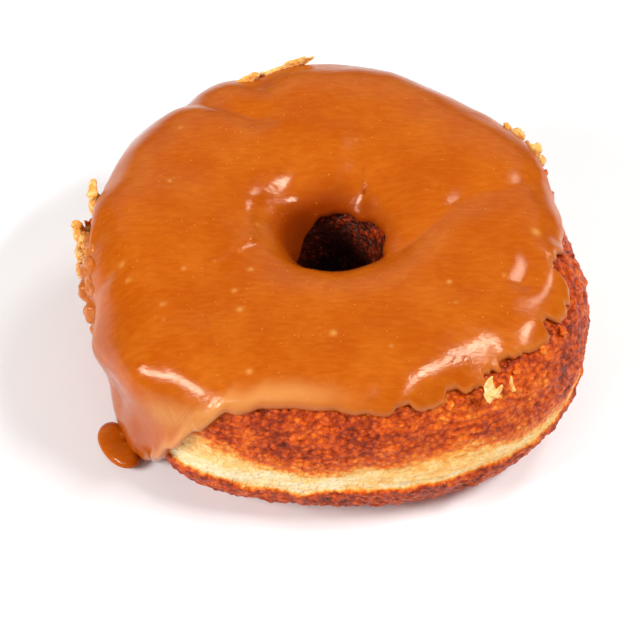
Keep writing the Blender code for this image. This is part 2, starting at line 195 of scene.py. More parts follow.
def cell_number(cell, seed):
    """A repeatable number from 0 to 1 for each lattice cell: products of its whole numbers, folded and cut short."""
    mixed = (cell[..., 0] * MIX[0] + cell[..., 1] * MIX[1] + cell[..., 2] * MIX[2] + seed * MIX[3]) & LOW_32
    mixed = ((mixed ^ (mixed >> SHIFTS[0])) * MIX[3]) & LOW_32
    mixed = ((mixed ^ (mixed >> SHIFTS[1])) * MIX[0]) & LOW_32
    return ((mixed ^ (mixed >> SHIFTS[2])) & LOW_24) / LOW_24


def swells(points, size, seed=0):
    """Value noise from -1 to 1: the eight corners' numbers, weighted by how near the point is to each."""
    scaled = points / size
    cell = np.floor(scaled).astype(np.int64)
    share = smooth(scaled - cell)
    total = np.zeros(points.shape[:-1])
    for corner in np.ndindex(2, 2, 2):
        weight = np.prod(np.where(np.array(corner) == 1, share, 1.0 - share), axis=-1)
        total += weight * cell_number(cell + np.array(corner), seed)
    return 2.0 * total - 1.0


def waves(points, *bands):
    """The sum of amount * value noise over the bands, each given as its amount, its size and its seed."""
    return sum(amount * swells(points, size, seed) for amount, size, seed in bands)


test_points = np.stack([np.linspace(0, 30, 400)] * 3, axis=-1)
test_noise = swells(test_points, 2.0)
print("value noise runs from", round(float(test_noise.min()), 2), "to", round(float(test_noise.max()), 2))

# %% Cell noise, and the distance to a line
FAR = 1e9


def blisters(points, size, seed=0):
    """1 at each scattered point, down to 0 one cell away, from the distance to the nearest of them."""
    scaled = points / size
    cell = np.floor(scaled).astype(np.int64)
    nearest = np.full(points.shape[:-1], FAR)
    for offset in np.ndindex(3, 3, 3):
        there = cell + np.array(offset) - 1
        spot = np.stack([cell_number(there, seed + k) for k in range(3)], axis=-1) + there
        nearest = np.minimum(nearest, np.linalg.norm(scaled - spot, axis=-1))
    return np.clip(1.0 - nearest, 0.0, 1.0)


def near_line(points, line, width):
    """exp(-(distance / width) ** 2) from a line of points in space, taken stretch by stretch."""
    nearest = np.full(points.shape[:-1], FAR)
    for start, end in zip(line[:-1], line[1:]):
        reach = end - start
        share = np.clip(((points - start) @ reach) / (reach @ reach), 0.0, 1.0)
        off = np.linalg.norm(points - start - share[..., None] * reach, axis=-1)
        nearest = np.minimum(nearest, off)
    return np.exp(-((nearest / width) ** 2))


print("cell noise reaches", round(float(blisters(test_points, 2.0).max()), 2))

# %% [markdown]
# ## From a grid of points to a mesh
# All the pieces are grids. A ring's grid joins up both ways, and a lump's or a flake's grid shrinks to a point at
# each end, so no piece has an open edge. Blender could recalculate the normals afterwards. Here the signed volume says
# whether the faces point outwards, which is exact for a closed shell.

# %% Faces and closed shells


def faces_of_grid(rows, columns, ring):
    """Squares between each row and the next. The columns join up, and so do the rows of a ring."""
    i, k = np.meshgrid(np.arange(rows if ring else rows - 1), np.arange(columns), indexing="ij")
    i, k = i.ravel(), k.ravel()
    there, side = (i + 1) % rows, (k + 1) % columns
    return np.stack([i * columns + k, there * columns + k, there * columns + side, i * columns + side], axis=1)


def volume_of(points, faces):
    """Six times the volume is the sum over the triangles of a . (b x c)."""
    corners = points[faces]
    total = 0.0
    for a, b, c in ((0, 1, 2), (0, 2, faces.shape[1] - 1)):
        total += np.einsum("ij,ij->i", corners[:, a], np.cross(corners[:, b], corners[:, c])).sum() / 6.0
        if faces.shape[1] == 3:
            break
    return total


def shell(points, ring=True):
    """One closed shell: its points in a row, its squares, and the triangles that close the ends of what is no ring."""
    rows, columns = points.shape[:2]
    flat = points.reshape(-1, 3)
    squares = faces_of_grid(rows, columns, ring)
    fans = np.zeros((0, 3), int)
    if not ring:
        k = np.arange(columns)
        first, last = len(flat), len(flat) + 1
        flat = np.concatenate([flat, points[0].mean(axis=0)[None], points[-1].mean(axis=0)[None]])
        low = np.stack([np.full(columns, first), k, (k + 1) % columns], axis=1)
        high = (rows - 1) * columns
        up = np.stack([np.full(columns, last), high + (k + 1) % columns, high + k], axis=1)
        fans = np.concatenate([low, up])
    volume = volume_of(flat, squares) + (volume_of(flat, fans) if len(fans) else 0.0)
    if volume < 0:
        squares, fans = squares[:, ::-1], fans[:, ::-1]
    return flat, squares, fans, abs(volume)


print("squares in a ring of 3 by 4 points:", len(faces_of_grid(3, 4, ring=True)))

# %% [markdown]
# ## A piece, and what it stands for
# A finished piece is one mesh at the origin, with its numbers painted on its points and one finish. It rides on the
# frame's root body, and the solid that it replaces is hidden. One function does all of it, so that no piece can miss a
# step.

# %% One mesh maker for every piece
CUBIC_MM_IN_ML = 1000.0


def piece(name, shells, finish, node, painted):
    """One mesh of the shells in the frame's metres, with its attributes and finish, on the root body, hiding its solid.
    """
    flats, faces, start, volume = [], [], 0, 0.0
    for flat, squares, fans, size in shells:
        flats.append(flat)
        faces += (squares + start).tolist() + (fans + start).tolist()
        start += len(flat)
        volume += size
    mesh = bpy.data.meshes.new(name)
    mesh.from_pydata((np.concatenate(flats) + CENTRE) * MM, [], faces)
    for key, values in painted.items():
        mesh.attributes.new(key, "FLOAT", "POINT").data.foreach_set("value", np.asarray(values, np.float32).ravel())
    mesh.shade_smooth()
    mesh.materials.append(finish)
    made = bpy.data.objects.new(name, mesh)
    bpy.context.scene.collection.objects.link(made)
    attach(made, "root")
    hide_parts(node)
    triangles = sum(len(face) - 2 for face in faces)
    print(f"{name}: {len(mesh.vertices)} points, {triangles} triangles, {volume / CUBIC_MM_IN_ML:.2f} ml")


# %% [markdown]
# ## Nodes for the finishes
# Both finishes are built from noise on Object coordinates and from numbers painted on the points. Image textures
# would need files, and noise needs none and stays sharp. A short helper makes each node, so that a finish reads as a
# list of what it is made of.

# %% Helpers for nodes
# Where the Mix node keeps its sockets for colours
MIX_SHARE, MIX_FIRST, MIX_SECOND, MIX_RESULT = 0, 6, 7, 2


def add_node(tree, kind, inputs=None, **settings):
    """Adds a node, with its settings, and with each input either linked to a socket or set to a value."""
    made = tree.nodes.new(kind)
    for key, value in settings.items():
        setattr(made, key, value)
    for key, value in (inputs or {}).items():
        if isinstance(value, bpy.types.NodeSocket):
            tree.links.new(value, made.inputs[key])
        else:
            made.inputs[key].default_value = value
    return made


def new_finish(name):
    """A material whose tree still holds only its shader and output."""
    made = bpy.data.materials.new(name)
    made.use_nodes = True
    return made, made.node_tree, made.node_tree.nodes["Principled BSDF"]


def grain(tree, place, feature_mm, detail=3.0, roughness=0.55):
    """Noise whose lumps are about feature_mm across: its scale is one lump to that many metres."""
    inputs = {"Vector": place, "Scale": 1.0 / (feature_mm * MM), "Detail": detail, "Roughness": roughness}
    return add_node(tree, "ShaderNodeTexNoise", inputs).outputs["Fac"]


def spread(tree, value, low, high, to_low, to_high):
    """value between low and high, stretched to run from to_low to to_high and held there outside."""
    inputs = {"Value": value, "From Min": low, "From Max": high, "To Min": to_low, "To Max": to_high}
    return add_node(tree, "ShaderNodeMapRange", inputs).outputs["Result"]


def sum_of(tree, first, second):
    """first + second."""
    return add_node(tree, "ShaderNodeMath", {0: first, 1: second}, operation="ADD").outputs[0]


def product(tree, first, second):
    """first * second."""
    return add_node(tree, "ShaderNodeMath", {0: first, 1: second}, operation="MULTIPLY").outputs[0]


def painted_value(tree, name):
    """The number painted on the points under this name, blended across each face."""
    return add_node(tree, "ShaderNodeAttribute", attribute_name=name).outputs["Fac"]


def blend(tree, share, first, second):
    """first where share is 0 and second where it is 1, for colours."""
    inputs = {MIX_SHARE: share, MIX_FIRST: first, MIX_SECOND: second}
    return add_node(tree, "ShaderNodeMix", inputs, data_type="RGBA").outputs[MIX_RESULT]


def bumped(tree, shader, height, strength, distance_mm):
    """Tilts the shader's normal as if the surface stood up by height * distance_mm."""
    inputs = {"Height": height, "Strength": strength, "Distance": distance_mm * MM}
    tree.links.new(add_node(tree, "ShaderNodeBump", inputs).outputs["Normal"], shader.inputs["Normal"])


def set_sockets(shader, values):
    """Sets each named socket of the shader to its value, for what is the same all over the surface."""
    for key, value in values.items():
        shader.inputs[key].default_value = value


print("a lump of 2 mm needs a noise scale of", 1.0 / (2.0 * MM))

# %% [markdown]
# ## The crust's finish
# Fried dough goes from cream, where it floated clear of the oil, through gold and orange to red-brown and nearly
# black. It could be an image painted by hand. One painted number, the toast, is easier to change: it says how far each
# place has gone, and a colour ramp turns it into colour. On the hole's wall the toast also carries painted shade. Noise
# at three sizes shifts it, because browning is patchy, and painted shade darkens the crevices between the pimples while
# painted light brightens their tops. Frying fat leaves a broken gloss, so the roughness varies.

# %% The crust's noises
# Each: the lumps' size in millimetres, and how far it shifts the toast to either side
PATCHY = (5.0, 0.10)
MOTTLED = (2.0, 0.09)
SPECKLED = (0.5, 0.07)
USUAL_NOISE = (0.3, 0.7)
LEVEL_SQUASH = (1.0, 1.0, 3.2)
PIMPLE_MM = 1.15
SEED_MM = 0.55
# Painted light and shade on the pimples: paler on their tops and darker in the crevices between them
PIMPLE_SHADE_SPAN = (0.15, 0.75)
PIMPLE_SHADE_SHIFT = (-0.10, 0.15)


def noise_shift(tree, place, band):
    """Noise of the band's size, stretched to run from minus its shift to plus its shift."""
    size, shift = band
    return spread(tree, grain(tree, place, size), *USUAL_NOISE, -shift, shift)


def cells(tree, place, size):
    """The distance to the nearest scattered point, counted in cells of this many millimetres."""
    return add_node(tree, "ShaderNodeTexVoronoi", {"Vector": place, "Scale": 1.0 / (size * MM)}).outputs["Distance"]


crust, tree, shader = new_finish("fried_dough")
place = add_node(tree, "ShaderNodeTexCoord").outputs["Object"]
level = add_node(tree, "ShaderNodeMapping", {"Vector": place, "Scale": LEVEL_SQUASH}).outputs["Vector"]
pimples = cells(tree, place, PIMPLE_MM)
seeds = cells(tree, place, SEED_MM)
patchy = noise_shift(tree, place, PATCHY)
mottled = noise_shift(tree, level, MOTTLED)
speckled = noise_shift(tree, place, SPECKLED)
# Painted shade in the crevices between pimples, and painted light on their tops
painted_pimple_shade = spread(tree, pimples, *PIMPLE_SHADE_SPAN, *PIMPLE_SHADE_SHIFT)
uneven = sum_of(tree, sum_of(tree, patchy, mottled), sum_of(tree, speckled, painted_pimple_shade))
print("the noises shift the toast by up to", round(PATCHY[1] + MOTTLED[1] + SPECKLED[1] + PIMPLE_SHADE_SHIFT[1], 2))

# %% The crust's colour
TOAST_COLOURS = (
    (0.00, (0.930, 0.760, 0.460, 1)), (0.13, (0.930, 0.590, 0.210, 1)), (0.28, (0.880, 0.360, 0.055, 1)),
    (0.44, (0.780, 0.165, 0.010, 1)), (0.60, (0.620, 0.078, 0.003, 1)), (0.78, (0.340, 0.028, 0.002, 1)),
    (1.00, (0.045, 0.005, 0.002, 1)),
)
# Cream dough takes this share of the noises, and browned dough all of them
CREAM_TO_BROWN = (0.02, 0.42)
CREAM_SHARE = 0.22

toast_and_shade = painted_value(tree, "toast_and_shade")
shifted = sum_of(tree, toast_and_shade, product(tree, uneven, spread(tree, toast_and_shade, *CREAM_TO_BROWN, CREAM_SHARE, 1.0)))
ramp = add_node(tree, "ShaderNodeValToRGB", {"Fac": shifted})
stops = ramp.color_ramp.elements
for number, (where, colour) in enumerate(TOAST_COLOURS):
    stop = stops[number] if number < 2 else stops.new(where)
    stop.position = where
    stop.color = colour
tree.links.new(ramp.outputs["Color"], shader.inputs["Base Color"])
print("stops in the toast's ramp:", len(stops))

# %% The crust's gloss and its finest relief
FAT_MM = 1.1
FAT_SPAN = (0.35, 0.65)
CRUST_ROUGHNESS = (0.14, 0.36)
PIMPLE_RELIEF = -0.8
SEED_RELIEF = -0.45
FINE_MM = 0.8
FINE_RELIEF = 0.6
CRUST_BUMP = (1.0, 0.48)
CRUST_SOCKETS = {
    "Specular IOR Level": 0.26,
    "Specular Tint": (1.0, 0.80, 0.60, 1),
    "Subsurface Weight": 0.06,
    "Subsurface Radius": (1.0, 0.4, 0.15),
    "Subsurface Scale": 1.0 * MM,
}

fat = spread(tree, grain(tree, place, FAT_MM), *FAT_SPAN, *CRUST_ROUGHNESS)
tree.links.new(fat, shader.inputs["Roughness"])
height = sum_of(tree, product(tree, pimples, PIMPLE_RELIEF), product(tree, seeds, SEED_RELIEF))
height = sum_of(tree, height, product(tree, grain(tree, level, FINE_MM), FINE_RELIEF))
bumped(tree, shader, height, *CRUST_BUMP)
set_sockets(shader, CRUST_SOCKETS)
print("crust finish:", len(tree.nodes), "nodes")

# %% [markdown]
# ## The icing's finish
# Maple icing is sugar, butter and syrup: caramel orange, a little translucent, glossy where it set smooth and duller
# where it wrinkled. Sugar grains show as pale specks. Thin icing shows the crust through it and looks darker. A glass
# shader would be truer where it is thin, and noisier to render, so thin places are painted with a darker colour. The
# same darker colour is painted shade in the hole and down the run, and a paler one on the lip in front is a painted
# sheen. The drawn noise is stretched along one way, as the icing was drawn when the doughnut was dipped.

# %% The icing's colour
ICING_CARAMEL = (0.430, 0.075, 0.001, 1)
ICING_MILKY = (0.530, 0.124, 0.006, 1)
# Thin icing, and painted shade in the hole and down the run
ICING_THIN_AND_SHADE = (0.250, 0.026, 0.001, 1)
ICING_CRACK = (0.240, 0.034, 0.002, 1)
# A painted sheen on the lip in front
ICING_LIP_SHEEN = (0.600, 0.225, 0.055, 1)
DRAWN_SQUEEZE = (1.0, 3.0, 1.0)
DRAWN_TURN = (0.0, 0.0, 0.35)
CLOUD_MM, CLOUD_DETAIL, CLOUD_SHARE = 9.0, 4.0, (0.0, 0.6)
STREAK_MM, STREAK_SHARE = 2.6, (-0.15, 0.35)
MILK_SPAN = (0.35, 0.7)

icing_finish, tree, shader = new_finish("maple_icing")
place = add_node(tree, "ShaderNodeTexCoord").outputs["Object"]
drawn = add_node(tree, "ShaderNodeMapping", {"Vector": place, "Scale": DRAWN_SQUEEZE, "Rotation": DRAWN_TURN})
drawn = drawn.outputs["Vector"]
cloudy = spread(tree, grain(tree, place, CLOUD_MM, detail=CLOUD_DETAIL), *MILK_SPAN, *CLOUD_SHARE)
streaked = spread(tree, grain(tree, drawn, STREAK_MM), *MILK_SPAN, *STREAK_SHARE)
colour = blend(tree, sum_of(tree, cloudy, streaked), ICING_CARAMEL, ICING_MILKY)
# Milky paint with a painted sheen on the lip, thin paint with painted shade in the hole and down the run, and cracks
for name, tint in (("milky", ICING_LIP_SHEEN), ("thin", ICING_THIN_AND_SHADE), ("crack", ICING_CRACK)):
    colour = blend(tree, painted_value(tree, name), colour, tint)
print("the icing's colour so far:", len(tree.nodes), "nodes")

# %% Sugar in the icing
SUGAR = (0.680, 0.300, 0.060, 1)
# Each kind of grain: its cells in millimetres, its radius in cells, its strength, and its patches in millimetres
SUGAR_GRAINS = ((1.5, 0.14, 0.65, 3.0), (6.5, 0.12, 0.35, 11.0))
SUGAR_CORE = 0.2
PATCH_SPAN = (0.45, 0.55)
SPECK_STRENGTH = 0.7

for cell_mm, radius, strength, patch_mm in SUGAR_GRAINS:
    dots = spread(tree, cells(tree, place, cell_mm), SUGAR_CORE * radius, radius, strength, 0.0)
    dots = product(tree, dots, spread(tree, grain(tree, place, patch_mm), *PATCH_SPAN, 0.0, 1.0))
    colour = blend(tree, dots, colour, SUGAR)
colour = blend(tree, product(tree, painted_value(tree, "sugar"), SPECK_STRENGTH), colour, SUGAR)
tree.links.new(colour, shader.inputs["Base Color"])
print("kinds of sugar grain:", len(SUGAR_GRAINS))

# %% The icing's gloss and its finest relief
DULL_MM, DULL_SPAN, ICING_ROUGHNESS = 4.0, (0.3, 0.7), (0.12, 0.22)
WRINKLED_DULLER = 0.08
BRUSHED_MM, BRUSHED_DETAIL = 1.3, 2.0
FINE_ICING_MM, FINE_ICING_RELIEF = 0.4, 0.35
ICING_BUMP = (0.35, 0.14)
ICING_SOCKETS = {
    "Specular IOR Level": 0.27,
    "Specular Tint": (1.0, 0.86, 0.66, 1),
    "Subsurface Weight": 0.15,
    "Subsurface Radius": (1.0, 0.35, 0.08),
    "Subsurface Scale": 1.5 * MM,
}

dull = spread(tree, grain(tree, place, DULL_MM), *DULL_SPAN, *ICING_ROUGHNESS)
dull = sum_of(tree, dull, product(tree, painted_value(tree, "wrinkled"), WRINKLED_DULLER))
tree.links.new(dull, shader.inputs["Roughness"])
brushed = grain(tree, drawn, BRUSHED_MM, detail=BRUSHED_DETAIL)
height = sum_of(tree, brushed, product(tree, grain(tree, place, FINE_ICING_MM), FINE_ICING_RELIEF))
bumped(tree, shader, height, *ICING_BUMP)
set_sockets(shader, ICING_SOCKETS)
print("icing finish:", len(tree.nodes), "nodes")

# %% [markdown]
# ## Where the icing ends
# The icing's edge is the line that makes this doughnut this one. A simulation of running icing would give some edge,
# but not this one, so it is a table of turns round the ring, one for each scallop that shows, with a little noise for
# the small ones. The line falls below the waist at the run. At the front right the icing runs in among the crust's
# pimples, so cell noise bites into the edge there.

# %% The icing's two edges
ICING_EDGE = (
    (1, 41), (15, 38), (30, 41), (45, 34), (65, 25), (88, 37), (104, 45), (118, 31), (135, 21), (152, 25),
    (168, 39), (184, 34), (190, 16), (196, -14), (203, -40), (210, -57), (219, -55), (225, -38), (230, -18),
    (234, 1), (240, 24), (246, 38), (254, 43), (262, 44), (270, 44), (276, 41), (281, 41), (287, 43), (293, 39),
    (299, 43), (304, 44), (308, 42), (313, 46), (321, 47), (327, 44), (332, 45), (336, 42), (340, 45), (344, 51),
    (349, 53), (355, 47),
)
HOLE_EDGE = (
    (6, 139), (37, 141), (67, 147), (100, 153), (125, 161), (145, 177), (190, 170), (240, 152), (300, 141), (336, 139),
)
RUN_AZIMUTH = 215.0
# Each size of scallop: its reach in degrees, its size in millimetres and its seed
SCALLOPS = ((1.4, 6.0, 21), (0.8, 2.3, 22))
HOLE_SCALLOPS = (5.0, 3.0, 23)
BITES = ((5.0, 4.6, 24), (2.0, 1.9, 28))
BITES_AZIMUTH = 318.0
BITES_REACH = 34.0
BITE_START = 0.48
BITE_RAMP = 0.25


def run_share(azimuth, half_width=9.0):
    """exp(-(angle from the run's middle / half width) ** 4): 1 in the run and 0 away from it."""
    return np.exp(-((away(azimuth, RUN_AZIMUTH) / half_width) ** 4))


def circle(azimuth, radius):
    """Points on a level circle: radius * (cos, sin, 0)."""
    around = np.radians(azimuth)
    return radius * np.stack([np.cos(around), np.sin(around), np.zeros_like(around)], axis=-1)


def outer_edge(azimuth):
    """The table's turn, plus value noise round the ring, plus cell noise where the icing bites into the crust."""
    ring = circle(azimuth, WAIST_RADIUS)
    bare = np.exp(-((away(azimuth, BITES_AZIMUTH) / BITES_REACH) ** 4))
    bites = sum(reach * smooth((blisters(ring, size, seed) - BITE_START) / BITE_RAMP) for reach, size, seed in BITES)
    return round_the_ring(azimuth, ICING_EDGE) + waves(ring, *SCALLOPS) + bites * bare


def hole_edge(azimuth):
    """The table's turn inside the hole, plus value noise round the hole."""
    return round_the_ring(azimuth, HOLE_EDGE) + waves(circle(azimuth, HOLE_RADIUS), HOLE_SCALLOPS)


edge_turns = outer_edge(np.arange(360.0))
print("the icing's edge runs from", round(float(edge_turns.min())), "to", round(float(edge_turns.max())), "degrees")

# %% [markdown]
# ## The crust's bands
# The ring was fried on one side, turned and fried on the other. Between the two browned halves lies a pale waist that
# stayed above the oil. Its lower border is sharp and ragged, because the bottom crust set first, and its upper border
# blends through gold. The bands could be painted by hand in Blender. Two tables hold the borders instead, and the
# toast number follows from how far a place is from them.

# %% The pale waist and the toast
PALE_TOP = (
    (0, -2), (20, 2), (40, 6), (60, 5), (80, 8), (100, 3), (120, 7), (140, 9), (160, 6), (180, 10), (200, 12),
    (215, 16), (232, 20), (240, 19.5), (243.5, 13.5), (250, 9.5), (253.5, 4.5), (257.5, 2), (264.5, -2), (271, 3),
    (276.5, 7.5), (285.5, 7), (289.5, 11), (298.5, 10.5), (308, 3), (316.5, -3), (323.5, -4), (329.5, -9),
    (335, -7), (345, -5),
)
PALE_LOW = (
    (0, -12), (20, -12), (45, -10), (70, -14), (95, -11), (120, -13), (145, -10), (170, -12), (195, -11),
    (215, -12), (231, -15), (235.5, -14.5), (242, -13.5), (246.5, -14), (252, -17), (257.5, -17), (263, -21),
    (269, -13.5), (274.5, -13), (280.5, -14.5), (285.5, -13), (294.5, -13), (303.5, -11), (311, -13),
    (320, -13.5), (324.5, -15), (332, -14), (345, -12),
)
GOLD_TURN = 16.0
GOLD_START = 6.0
GOLD_CURVE = 0.8
RAGGED_TURN = 1.6
PALE_LOW_SHIFT = 1.5
PALE_TOP_NOISE = ((2.2, 5.0, 31), (1.2, 1.8, 32))
PALE_LOW_NOISE = ((1.4, 3.0, 33), (1.0, 1.1, 34))


def pale_share(azimuth, turn, points):
    """1 in the pale waist. It falls off over GOLD_TURN degrees above it and over RAGGED_TURN degrees below."""
    low = away(turn, 0.0)
    top = round_the_ring(azimuth, PALE_TOP) + waves(points, *PALE_TOP_NOISE)
    bottom = round_the_ring(azimuth, PALE_LOW) - PALE_LOW_SHIFT + waves(points, *PALE_LOW_NOISE)
    above = np.clip((low - top + GOLD_START) / GOLD_TURN, 0.0, 1.0) ** GOLD_CURVE
    below = smooth((bottom - low) / RAGGED_TURN)
    return (1.0 - above) * (1.0 - below), above, below


test_azimuth, test_turn = np.full(1, FRONT), np.full(1, -5.0)
test_share = pale_share(test_azimuth, test_turn, dough_body(test_azimuth, test_turn))[0]
print("the waist in front is pale by a share of", round(float(test_share[0]), 2))

# %% How far each place is toasted
UPPER_TOAST, UPPER_BLISTERS = 0.59, 0.10
LOWER_TOAST, LOWER_BLISTERS, LOWER_PATCHES = 0.62, 0.05, 0.8
# Near black on the hole's wall: partly deeper browning, partly painted shade
HOLE_TOAST_AND_SHADE = 0.94
CREAM_TOAST = 0.02
TOAST_PATCHES = ((0.10, 9.0, 35), (0.07, 3.2, 36))
CREAM_PATCHES = (0.06, 4.0, 37)
CREAM_STREAKS = (0.07, 4.0, 38)
STREAK_FLATTEN = np.array([1.0, 1.0, 5.0])
# The waist is golder towards its top, and at the right
RISE_TOAST, RISE_FROM, RISE_OVER = 0.17, -16.0, 30.0
GOLDEN_TOAST, GOLDEN_AZIMUTH, GOLDEN_REACH = 0.07, 325.0, 32.0
# The hole's wall begins this many degrees from its waist, and is reached over so many more
WALL_FROM, WALL_OVER = 100.0, 30.0


def toast_and_shade_of(azimuth, turn, points, crusty):
    """Cream in the waist, about 0.6 on the crusts and darker where blisters stand. Near black on the hole's wall, which
    is partly deeper browning and partly painted shade.
    """
    _, above, below = pale_share(azimuth, turn, points)
    patches = waves(points, *TOAST_PATCHES)
    upper = UPPER_TOAST + patches + UPPER_BLISTERS * crusty
    lower = LOWER_TOAST + LOWER_PATCHES * patches + LOWER_BLISTERS * crusty
    rise = smooth((away(turn, 0.0) - RISE_FROM) / RISE_OVER)
    golden = GOLDEN_TOAST * np.exp(-((away(azimuth, GOLDEN_AZIMUTH) / GOLDEN_REACH) ** 4))
    cream = CREAM_TOAST + golden + RISE_TOAST * rise
    cream = cream + waves(points, CREAM_PATCHES) + waves(points * STREAK_FLATTEN, CREAM_STREAKS)
    toast_and_shade = above * upper + (1.0 - above) * cream
    toast_and_shade = below * lower + (1.0 - below) * toast_and_shade
    inside = smooth((WALL_FROM - np.abs(away(turn, 180.0))) / WALL_OVER)
    return toast_and_shade * (1.0 - inside) + inside * (HOLE_TOAST_AND_SHADE + patches)


print("toast from", CREAM_TOAST, "in the waist to", HOLE_TOAST_AND_SHADE, "in the hole")

# %% [markdown]
# ## The dough
# The crust's relief is made of layers, blisters and pimples. The layers run level round the ring. Blisters of two
# sizes stand on the browned parts only, and the pale waist is smooth and a little sunken. It could be a displacement
# on a coarse mesh. Here all of it is one number, the height above the body, added along the normals.

# %% Dough relief
LAYER_PITCH = 5.2
FINE_LAYER_PITCH = 1.9
FINE_WANDER = 1.6
LAYER_WANDER = ((1.3, 9.0, 41), (0.5, 3.5, 42))
LAYER_HEIGHT, FINE_LAYER_HEIGHT = 0.16, 0.07
FINE_LAYER_GAPS = (0.5, 5.0, 43)


def layers(points, low):
    """Level ridges: a sine of the turn and of slow noise, plus a finer one that comes and goes."""
    wander = waves(points, *LAYER_WANDER)
    coarse = np.sin(2.0 * math.pi * (low / LAYER_PITCH + wander))
    fine = np.sin(2.0 * math.pi * (low / FINE_LAYER_PITCH + FINE_WANDER * wander))
    return LAYER_HEIGHT * coarse + FINE_LAYER_HEIGHT * fine * (0.5 + waves(points, FINE_LAYER_GAPS))


print("coarse layers round the outer half:", round(180.0 / LAYER_PITCH))

# %% Blisters, and the whole relief
# Each: height in millimetres, size in millimetres, seed, and where in the cell noise it starts and how fast it rises
BIG_BLISTERS = (0.34, 3.4, 51, 0.40, 0.5)
SMALL_BLISTERS = (0.34, 1.5, 54, 0.25, 0.6)
CRUSTY_BIG, CRUSTY_SMALL, CRUSTY_LEVEL = 1.2, 1.6, 0.2
CRUST_ROUGH = ((0.12, 1.7, 57), (0.08, 0.8, 58))
WAIST_ROUGH = (0.15, 1.6, 59)
WAIST_STREAKS = (0.22, 5.0, 60)
WAIST_FLATTEN = np.array([1.0, 1.0, 6.0])
WAIST_SUNK = 0.42
BASE_PROUD = 0.18
OUTSIDE_FROM, OUTSIDE_OVER = -0.1, 0.5
# Under the icing the relief is smoothed away and the dough lies a little lower
COVERED_FROM, COVERED_OVER, COVERED_IN_HOLE = -1.0, 6.0, 8.0
COVERED_SUNK = 0.12


def raised(points, band):
    """height * smooth((cell noise - start) / ramp)."""
    height, size, seed, start, ramp = band
    return height * smooth((blisters(points, size, seed) - start) / ramp)


def dough_relief(azimuth, turn, points):
    """The height above the body in millimetres, and how blistered each place is."""
    low = away(turn, 0.0)
    pale, _, below = pale_share(azimuth, turn, points)
    browned = 1.0 - pale
    big, small = raised(points, BIG_BLISTERS), raised(points, SMALL_BLISTERS)
    crusty = np.clip(CRUSTY_BIG * big + CRUSTY_SMALL * (CRUSTY_LEVEL - small), -1.0, 1.0) * browned
    outside = smooth((np.cos(np.radians(turn)) - OUTSIDE_FROM) / OUTSIDE_OVER)
    wet = waves(points, WAIST_ROUGH) + waves(points * WAIST_FLATTEN, WAIST_STREAKS)
    height = browned * (big + small + waves(points, *CRUST_ROUGH)) + wet * pale
    height = height + outside * (browned * layers(points, low) - WAIST_SUNK * pale)
    height = height + BASE_PROUD * below * outside
    covered = smooth((low - round_the_ring(azimuth, ICING_EDGE) - COVERED_FROM) / COVERED_OVER)
    in_hole = smooth((round_the_ring(azimuth, HOLE_EDGE) - turn) / COVERED_IN_HOLE)
    covered = np.where(np.abs(low) < 90.0, covered, in_hole)
    return height * (1.0 - covered) - COVERED_SUNK * covered, crusty


print("big and small blisters together stand up to", BIG_BLISTERS[0] + SMALL_BLISTERS[0], "mm")

# %% [markdown]
# ## The dough's mesh
# The camera sees the outer side and the front, so the grid's points are closest there. An even grid would need far more
# points for the same crust. The base rests on the floor, so whatever would hang below it is pressed flat.

# %% The dough's mesh
STATIONS = 560
CROWDING = 17.0
# Each stretch of the section: its first and last turn, and its number of points
DOUGH_TURNS = ((-58.0, 62.0, 116), (62.0, 130.0, 8), (130.0, 236.0, 28), (236.0, 302.0, 8))


def stations(count, crowding, centre):
    """Azimuths round the ring, closest at centre: even steps less crowding * sin(even - centre)."""
    even = np.arange(count) * 360.0 / count
    return even - crowding * np.sin(np.radians(even - centre))


def dough_grid():
    """The body, plus the relief along its normals, cut off at the floor, and how browned each point is, with painted
    shade in the hole.
    """
    turn = np.concatenate([np.linspace(a, b, n, endpoint=False) for a, b, n in DOUGH_TURNS])
    azimuth, turn = np.meshgrid(stations(STATIONS, CROWDING, FRONT), turn, indexing="ij")
    body = dough_body(azimuth, turn)
    height, crusty = dough_relief(azimuth, turn, body)
    points = body + height[..., None] * normals(bare_ring, azimuth, turn)
    points[..., 2] = np.maximum(points[..., 2], -FLOOR_DROP)
    return points, toast_and_shade_of(azimuth, turn, body, crusty)


dough_points, dough_toast_and_shade = dough_grid()
piece("dough", [shell(dough_points)], crust, "dough_ring", {"toast_and_shade": dough_toast_and_shade})

# %% [markdown]
# ## The icing
# The icing follows the dough at a small gap and with its own thickness: it rounds off at its edges, swells into a lip
# where it stopped, thins out towards its edge at the right, and thickens down the run. It could be a Solidify modifier
# on a copy of the dough, but then the edge, the lip and the run couldn't have thicknesses of their own. The lip follows
# the edge without its scallops. If it followed each scallop, the highlights would break into rays.

# %% The edge without its scallops
SOFT_EDGE = (
    (1, 41), (45, 37), (65, 30), (100, 39), (135, 25), (160, 30), (176, 36), (190, 16), (196, -14), (203, -40),
    (210, -57), (219, -55), (225, -38), (230, -18), (234, 1), (240, 24), (246, 38), (254, 43), (290, 42), (340, 45),
    (352, 48),
)
soft_turns = round_the_ring(np.arange(360.0), SOFT_EDGE)
print("the scallops reach", round(float(np.abs(edge_turns - soft_turns).max()), 1), "degrees from the smooth edge")

# %% The icing's thickness and faces
ICING_GAP = 0.46
ICING_THICK = 1.7
RUN_EXTRA_THICK = 0.4
EDGE_ROUND = 1.3
ICING_LIP = 0.35
LIP_LOBES = ((252, 24, 0.2), (325, 48, -0.36))
LIP_INSET = 2.2
LIP_WIDTH = 1.7
LIP_WAVER = (0.5, 7.0, 61)
THINNED_AZIMUTH = 325.0
THINNED_REACH = 55.0
THINNED_SHARE = 0.5
THINNED_INSET = 3.6
# The section's half width outside and in the hole, which turns degrees into millimetres
OUTER_SIZE = 19.5
INNER_SIZE = 15.0
